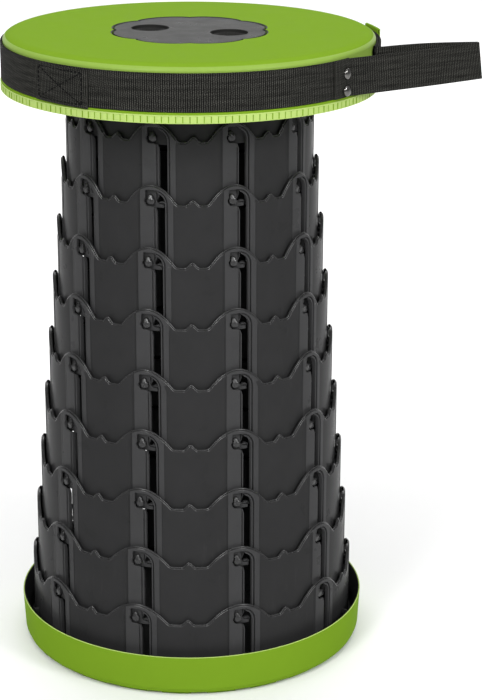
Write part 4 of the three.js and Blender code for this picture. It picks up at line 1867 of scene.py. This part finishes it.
@dataclass
class Strap:
    """The webbing round the seat, its sewn overlap, and the hand loop. Azimuths are in degrees.

    Attributes:
        fold_lean: How much further the fold's lower edge stands off than its upper edge.
    """

    inner_radius: float = 129.6
    thickness: float = 1.5
    width: float = 25.3
    gap: float = 0.3
    overlap_from: float = -49.5
    overlap_to: float = -30.0
    overlap_drop: float = 1.0
    seam_inset: float = 2.2
    seam_from: float = -48.0
    seam_to: float = -31.75
    stitch_pitch: float = 3.1
    thread_radius: float = 0.34
    rivet_azimuth: float = 51.2
    tab_angle: float = 5.0
    back_azimuth: float = 73.0
    back_gap: float = 1.5
    tail_azimuth: float = 118.0
    fold_azimuth: float = 84.2
    reach: float = 68.4
    fold_lean: float = 3.0
    fold_gap: float = 0.8
    front_bulge: float = 1.2
    back_bulge: float = 5.0

    @property
    def outer_radius(self) -> float:
        """The band's outer radius."""
        return self.inner_radius + self.thickness

    @property
    def second_radius(self) -> float:
        """The radius of the middle of a second layer, over the band."""
        return self.outer_radius + self.gap + self.thickness / 2

    @property
    def bottom(self) -> float:
        """The height of the band's lower edge."""
        return low_z("strap_band")

    def arc(
        self, radius: float, first: float, last: float, steps: int, drop: float = 0.0
    ) -> list[Vector]:
        """Draws a middle line between two azimuths, in mm, whose end lies lower by a drop."""
        stops = [
            (math.radians(first + (last - first) * i / steps), drop * i / steps)
            for i in range(steps + 1)
        ]
        return [around(radius, azimuth, self.bottom - fall) / MM for azimuth, fall in stops]

    def build(self) -> None:
        """Builds and dresses the band, the overlap, the stitches and the loop."""
        middle = self.inner_radius + self.thickness / 2
        last = 360 + self.rivet_azimuth + self.tab_angle / 2
        path = self.arc(middle, self.back_azimuth + self.back_gap, last, 340)
        band, overlap, loop = MeshDraft(), MeshDraft(), MeshDraft()
        Ribbon(path, self.width, self.thickness).draw(band)
        dress(band.make("webbing_band"), Finish.WEBBING, "seat", ["strap_band"])
        start, end = self.overlap_from, self.overlap_to
        path = self.arc(self.second_radius, start, end, 24, self.overlap_drop)
        Ribbon(path, self.width, self.thickness, start=0.7).draw(overlap)
        dress(overlap.make("webbing_overlap"), Finish.WEBBING, "seat", ["strap_overlap"])
        self.sew()
        Ribbon(self.loop_path(), self.width, self.thickness, start=0.4).draw(loop)
        away = outward(math.radians(self.fold_azimuth))
        for point in loop.points:
            share = smooth((point.dot(away) / MM - self.outer_radius) / self.reach)
            up = (point.z / MM - self.bottom) / self.width
            point += away * (self.fold_lean * (0.5 - up) * share * MM)
        dress(loop.make("hand_loop"), Finish.WEBBING, "seat", ["strap_loop"])

    def overlap_place(self, degrees: float, up: float, proud: float) -> Vector:
        """Gives a place, in metres, on the sewn overlap, or proud of its outer face."""
        share = (degrees - self.overlap_from) / (self.overlap_to - self.overlap_from)
        radius = self.outer_radius + self.gap + self.thickness + proud
        return around(radius, math.radians(degrees), self.bottom - self.overlap_drop * share + up)

    def sew(self) -> None:
        """Sews a box with a cross on the overlap."""
        low, high = self.seam_inset, self.width - self.seam_inset
        left, right = self.seam_from, self.seam_to
        seams = [
            [(left, low), (right, low)], [(right, low), (right, high)],
            [(right, high), (left, high)], [(left, high), (left, low)],
            [(left, low), (right, high)], [(left, high), (right, low)],
        ]
        thread = MeshDraft()
        for (a0, h0), (a1, h1) in seams:
            length = math.hypot(math.radians(a1 - a0) * self.outer_radius, h1 - h0)
            count = max(3, round(length / self.stitch_pitch))
            for k in range(count):
                first, last = (k + 0.12) / count, (k + 0.88) / count
                arch = (
                    (first, -0.3), (first * 0.8 + last * 0.2, 0.12), ((first + last) / 2, 0.2),
                    (first * 0.2 + last * 0.8, 0.12), (last, -0.3),
                )
                stitch(thread, [
                    self.overlap_place(a0 + (a1 - a0) * s, h0 + (h1 - h0) * s, lift)
                    for s, lift in arch
                ], self.thread_radius)
        dress(thread.make("overlap_stitches"), Finish.THREAD, "seat")

    def over(self, degrees: float, reach: float = 0.0) -> Vector:
        """Gives a place on a second layer's middle line, seen from above, or off it by a reach."""
        return (around(self.second_radius + reach, math.radians(degrees), 0) / MM).xy

    def loop_path(self) -> list[Vector]:
        """Draws the loop's middle line, from the riveted tab to the end of the tail.

        Returns:
            Its points, in mm.
        """
        fold = self.over(self.fold_azimuth, self.reach)
        leave = self.over(self.rivet_azimuth + self.tab_angle / 2)
        root = self.over(self.back_azimuth)
        pitch = self.thickness + self.fold_gap
        along = (fold - leave).normalized()
        left = Vector((-along.y, along.x))
        fold_back = fold + left * pitch
        middle = (fold + fold_back) / 2
        tab = [self.over(self.rivet_azimuth + self.tab_angle * k / 4) for k in range(-4, 2)]
        bend = [
            middle + along * math.sin(a) * pitch / 2 - left * math.cos(a) * pitch / 2
            for a in (math.pi * k / 10 for k in range(11))
        ]
        length = self.tail_azimuth - self.back_azimuth
        tail = [self.over(self.back_azimuth + length * k / 20) for k in range(21)]
        front = bowed(leave, fold, self.front_bulge, 24)[:-1]
        back = bowed(fold_back, root, self.back_bulge, 24)[1:-1]
        return [Vector((p.x, p.y, self.bottom)) for p in tab + front + bend + back + tail]


def bowed(start: Vector, end: Vector, bulge: float, steps: int) -> list[Vector]:
    """Draws a stretch that bows sideways.

    Args:
        start: Its first point.
        end: Its last point.
        bulge: How far its middle lies to the right of its run.
        steps: Straight pieces in it.

    Returns:
        Its points, both ends included.
    """
    run = end - start
    side = Vector((run.y, -run.x)).normalized()
    return [
        start + run * k / steps + side * bulge * math.sin(math.pi * k / steps)
        for k in range(steps + 1)
    ]


def stitch(draft: MeshDraft, path: Sequence[Vector], radius: float) -> None:
    """Adds one stitch of thread.

    Args:
        draft: The mesh to add to.
        path: Its middle line, in metres.
        radius: The thread's radius, in mm.
    """
    rows = []
    for i, here in enumerate(path):
        along = (path[min(i + 1, len(path) - 1)] - path[max(i - 1, 0)]).normalized()
        side = along.cross(Vector((here.x, here.y, 0)).normalized()).normalized()
        out = side.cross(along)
        rows.append([draft.add(here + (side * x + out * y) * radius * MM) for x, y in circle(1, 6)])
    draft.grid(rows[::-1], closed=True)
    draft.cap(rows)


@dataclass
class StrapClip:
    """The lime clip on the seat's edge that keeps the loop's rear end against the seat."""

    start: float = 99.0
    end: float = 110.5
    inner: float = 131.0
    shelf_low: float = 413.4
    shelf_high: float = 418.4
    face: float = 136.4
    wall: float = 2.2
    top: float = 446.8
    edge: float = 0.8

    def build(self) -> None:
        """Builds and dresses the clip."""
        back = self.face - self.wall
        profile = rounded([
            (self.inner, self.shelf_low, 0.3), (self.face, self.shelf_low, 1.2),
            (self.face, self.top, 1.0), (back, self.top, 0.8), (back, self.shelf_high, 0.6),
            (self.inner, self.shelf_high, 0.2),
        ], closed=True)
        middle = self.face - self.wall / 2
        span = math.degrees(self.edge / self.face)
        length = self.end - self.start - 2 * span
        stations = [(self.start, 1.0), (self.start + span * 0.3, 0.35), (self.start + span, 0.0)]
        stations += [(self.start + span + length * k / 14, 0.0) for k in range(1, 14)]
        stations += [(self.end - span, 0.0), (self.end - span * 0.3, 0.35), (self.end, 1.0)]
        draft = MeshDraft()
        rows = []
        for degrees, inset in stations:
            row = []
            for radius, height in profile:
                near = inset * self.edge * (radius > back - 0.1)
                reach = radius - near if radius > middle else radius + near * 0.5
                lift = height - near * (height > self.top - 2)
                row.append(draft.add(around(reach, math.radians(degrees), lift)))
            rows.append(row)
        draft.tube(rows)
        dress(draft.make("strap_clip"), Finish.LIME, "seat")


@dataclass
class Rivet:
    """A tubular rivet with a domed head, through the loop, the strap and the seat wall."""

    node: str
    strap: Strap
    head_radius: float = 3.9
    head_height: float = 1.7
    head_edge: float = 0.6
    back_height: float = 1.0
    shank_radius: float = 1.4
    wall_inner: float = 126.6
    wall_facets: int = 48

    def build(self) -> None:
        """Builds and dresses the rivet."""
        strap, head = self.strap, self.head_radius
        azimuth = math.radians(strap.rivet_azimuth)
        height = (low_z(self.node) + high_z(self.node)) / 2
        base = strap.outer_radius + strap.gap + strap.thickness + 0.3
        back = self.wall_inner * math.cos(math.pi / self.wall_facets) - 0.3
        end = back - self.back_height
        dome = [
            (head * math.sin(a), base + self.head_edge + self.head_height * math.cos(a))
            for a in (math.pi / 2 * k / 6 for k in range(1, 7))
        ]
        profile = [
            (0, end), (head - 0.3, end), (head, end + 0.3), (head, back), (self.shank_radius, back),
            (self.shank_radius, base), (head - 0.25, base - 0.15), (head, base + 0.15),
            *dome[::-1], (0, base + self.head_edge + self.head_height),
        ]

        def place(point: Vector) -> Vector:
            """Turns the rivet's own axis to point out of the seat."""
            level = outward(azimuth) * point.z + sideways(azimuth) * point.x
            return level + UP * (point.y + height * MM)

        draft = MeshDraft()
        disc(draft, profile, 32, place)
        name = self.node.replace("rivet", "rivet_head")
        dress(draft.make(name), Finish.RIVET, "seat", [self.node])


# Base


@dataclass
class Base:
    """The lime hoop with its feet, and the black cup that the column stands in.

    Attributes:
        foot_phase: Where the first one stands, in pitches.
        rim_flare: The height over which the cup flares out to the rim.
    """

    rim_height: float = 30.6
    cup_inner: float = 122.2
    cup_outer: float = 124.2
    band_inner: float = 124.5
    band_outer: float = 127.0
    band_taper: float = 1.3
    bevel_width: float = 1.4
    bevel_height: float = 3.4
    lip_reach: float = 5.2
    lip_thickness: float = 1.2
    foot_height: float = 2.2
    foot_inset: float = 2.8
    feet: int = 24
    foot_share: float = 0.66
    foot_phase: float = 0.65
    rim_width: float = 0.8
    rim_flare: float = 13.0
    rim_step: float = 0.5
    floor_lift: float = 0.5
    floor_thickness: float = 3.2
    gate_radius: float = 2.05

    @property
    def lip_inner(self) -> float:
        """The lip's inner radius."""
        return self.band_inner - self.lip_reach

    @property
    def lip_top(self) -> float:
        """The height of the lip's upper face."""
        return self.foot_height + self.lip_thickness

    def build(self) -> None:
        """Builds and dresses the hoop, its feet and the cup."""
        foot, rim = self.foot_height, self.rim_height
        lip_inner, lip_top = self.lip_inner, self.lip_top
        low_outer = self.band_outer - self.band_taper
        hoop = MeshDraft()
        lathe(hoop, rounded([
            (lip_inner, foot, 0.2), (low_outer - self.bevel_width, foot, 0.8),
            (low_outer, foot + self.bevel_height, 2.2), (self.band_outer, rim, 0.45),
            (self.band_outer - self.rim_width, rim, 0.3),
            (self.band_inner, rim - self.rim_flare, 2), (self.band_inner, lip_top, 0.2),
            (lip_inner, lip_top, 0.2),
        ], closed=True), 360)
        pitch = TURN / self.feet
        radius = low_outer - self.bevel_width - self.foot_inset
        thickness = radius - lip_inner
        half = pitch / 2 * self.foot_share * radius
        outline = rounded([
            (-half, 0, 0.5), (half, 0, 0.5), (half, lip_top, 0), (-half, lip_top, 0),
        ], closed=True)
        outline = divided(outline + outline[:1], 3.0)[:-1]
        for i in range(self.feet):
            face = RoundFace(radius, (i + self.foot_phase) * pitch)
            chain = Chain(outline, round_rim(thickness, 0.3), closed=True)
            Sheet([chain], face.place, face.lie, thickness).draw(hoop)
        # Only the feet have normals of their own, so Blender works out all of them.
        hoop.normals.clear()
        ring = dress(
            hoop.make("base_hoop"), Finish.LIME, "base", ["base_band"],
            others=[Finish.LIME_EDGE_HIGHLIGHT],
        )
        # The rim's top takes the lighter lime, a painted highlight.
        for polygon in ring.data.polygons:
            polygon.material_index = int(polygon.center.z / MM > rim - 0.5)
        self.build_cup()

    def build_cup(self) -> None:
        """Builds and dresses the cup and the plug in its floor."""
        bottom = self.foot_height + self.floor_lift
        floor_top = bottom + self.floor_thickness
        rim = self.rim_height - self.rim_step
        rim_outer = self.band_outer - self.rim_width
        rebate, rebate_top = self.lip_inner - 0.3, self.lip_top + 0.3
        cup = MeshDraft()
        lathe(cup, rounded([
            (2, bottom, 0), (rebate, bottom, 0.4), (rebate, rebate_top, 0.2),
            (self.cup_outer, rebate_top, 0.3), (self.cup_outer, rim - self.rim_flare - 0.3, 2),
            (rim_outer - 0.15, rim, 0.1), (rim_outer - 0.5, rim, 0.2),
            (self.cup_inner, rim - self.rim_flare, 6), (self.cup_inner, floor_top, 1.2),
            (2, floor_top, 0),
        ], closed=True), 360)
        dress(cup.make("base_bowl"), Finish.BLACK, "base", ["base_cup"])
        plug = MeshDraft()
        gate = self.gate_radius
        section = [(0, bottom), (gate, bottom), (gate, floor_top), (0, floor_top)]
        disc(plug, section, 48, lambda point: point)
        dress(plug.make("base_gate_mark"), Finish.BLACK, "base")


# Studio


@dataclass(frozen=True)
class SoftBox:
    """A rectangular light that faces a point, in metres and watts."""

    name: str
    place: Place
    target: Place
    size: Point
    power: float

    def build(self) -> None:
        """Adds the light to the scene."""
        light = bpy.data.lights.new(self.name, "AREA")
        light.shape = "RECTANGLE"
        light.size, light.size_y = self.size
        light.energy = self.power
        lamp = bpy.data.objects.new(self.name, light)
        lamp.location = self.place
        lamp.rotation_mode = "QUATERNION"
        ahead = Vector(self.target) - Vector(self.place)
        lamp.rotation_quaternion = ahead.to_track_quat("-Z", "Y")
        bpy.context.scene.collection.objects.link(lamp)


@dataclass
class Studio:
    """The floor, the soft light and the camera.

    Attributes:
        camera_place: The camera's y and z, with x at 0.
        sky_strength: The strength of the even light from all round.
    """

    lens: float = 107.33
    camera_place: Point = (-1444.0, 700.0)
    camera_pitch: float = 18.55
    camera_yaw: float = 1.45
    camera_roll: float = -0.22
    sky_strength: float = 0.33
    floor_front: float = -4.0
    floor_back: float = 3.0
    curve_radius: float = 1.0
    wall_height: float = 4.0
    half_width: float = 6.0
    lights: tuple[SoftBox, ...] = (
        SoftBox("overhead_light", (0.0, -0.45, 1.9), (0.0, -0.05, 0.3), (2.2, 0.4), 7),
        SoftBox("key_light", (-0.8, -1.35, 1.35), (0.0, 0.0, 0.25), (0.45, 0.6), 14),
        SoftBox("fill_light", (1.3, -1.15, 1.2), (0.0, 0.0, 0.25), (0.45, 0.6), 14),
        SoftBox("front_light", (0.0, -1.9, 1.25), (0.0, 0.0, 0.4), (2.6, 0.25), 12),
        SoftBox("backdrop_light", (0.0, 1.6, 2.2), (0.0, 2.4, 0.0), (3.0, 1.2), 62),
    )

    def build(self) -> None:
        """Builds the studio."""
        self.build_floor()
        self.build_sky()
        for light in self.lights:
            light.build()
        self.build_camera()

    def build_floor(self) -> None:
        """Builds a pale floor that curves up behind the stool."""
        radius = self.curve_radius
        profile = [(self.floor_front, 0.0)]
        profile += [
            (self.floor_back + radius * math.sin(a), radius - radius * math.cos(a))
            for a in (math.pi / 2 * k / 12 for k in range(13))
        ]
        profile.append((self.floor_back + radius, self.wall_height))
        draft = MeshDraft()
        sides = (-self.half_width, self.half_width)
        rows = [[draft.add(Vector((x, y, z))) for y, z in profile] for x in sides]
        draft.grid(rows[::-1])
        floor = draft.make("studio_floor")
        material, canvas, shader = start_material("studio_paper")
        shade = canvas.noise(canvas.add("TexCoord").outputs["Object"], scale=3)
        paper = canvas.blend(shade, (0.9, 0.9, 0.9), (0.92, 0.92, 0.92))
        canvas.feed(shader.inputs["Base Color"], paper)
        shader.inputs["Roughness"].default_value = 0.9
        floor.data.materials.append(material)

    def build_sky(self) -> None:
        """Builds the even light from all round."""
        world = bpy.data.worlds.new("studio_sky")
        world.use_nodes = True
        sky = world.node_tree.nodes["Background"]
        sky.inputs["Color"].default_value = (1, 1, 1, 1)
        sky.inputs["Strength"].default_value = self.sky_strength
        bpy.context.scene.world = world
        bpy.context.scene.view_settings.view_transform = "Standard"

    def build_camera(self) -> None:
        """Builds the camera at the photograph's viewing angle."""
        data = bpy.data.cameras.new("camera")
        data.lens = self.lens
        data.sensor_width = 36
        camera = bpy.data.objects.new("camera", data)
        pitch, yaw = math.radians(self.camera_pitch), math.radians(self.camera_yaw)
        level = math.cos(pitch)
        ahead = Vector((math.sin(yaw) * level, math.cos(yaw) * level, -math.sin(pitch)))
        camera.location = Vector((0, *self.camera_place)) * MM
        camera.rotation_mode = "QUATERNION"
        roll = Quaternion(ahead, math.radians(self.camera_roll))
        camera.rotation_quaternion = roll @ ahead.to_track_quat("-Z", "Y")
        bpy.context.scene.collection.objects.link(camera)
        bpy.context.scene.camera = camera


def main() -> None:
    """Builds the studio and every piece of the stool."""
    logging.basicConfig(level=logging.INFO, format="%(name)s: %(message)s")
    Studio().build()
    for finish in Finish:
        finish.material()
    for number in range(1, RING_COUNT + 1):
        body = {1: "seat", RING_COUNT: "base"}.get(number, f"stage_{number}")
        ring = SlottedRing(number, body)
        if number == 1:
            InnerRing(ring).build()
        else:
            ring.build()
        if number < RING_COUNT:
            Studs(ring).build()
        else:
            TroughLugs(ring).build()
    cover = SeatCover()
    cover.build()
    SeatCentre(cover).build()
    strap = Strap()
    strap.build()
    StrapClip().build()
    for node in ("rivet_upper", "rivet_lower"):
        Rivet(node, strap).build()
    Base().build()
    for name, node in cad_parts.items():
        if "screw" in name:
            node.data.materials.clear()
            node.data.materials.append(Finish.SCREW.material())
            LOG.info("%s: the solid itself, in steel", name)


if __name__ == "__main__":
    main()
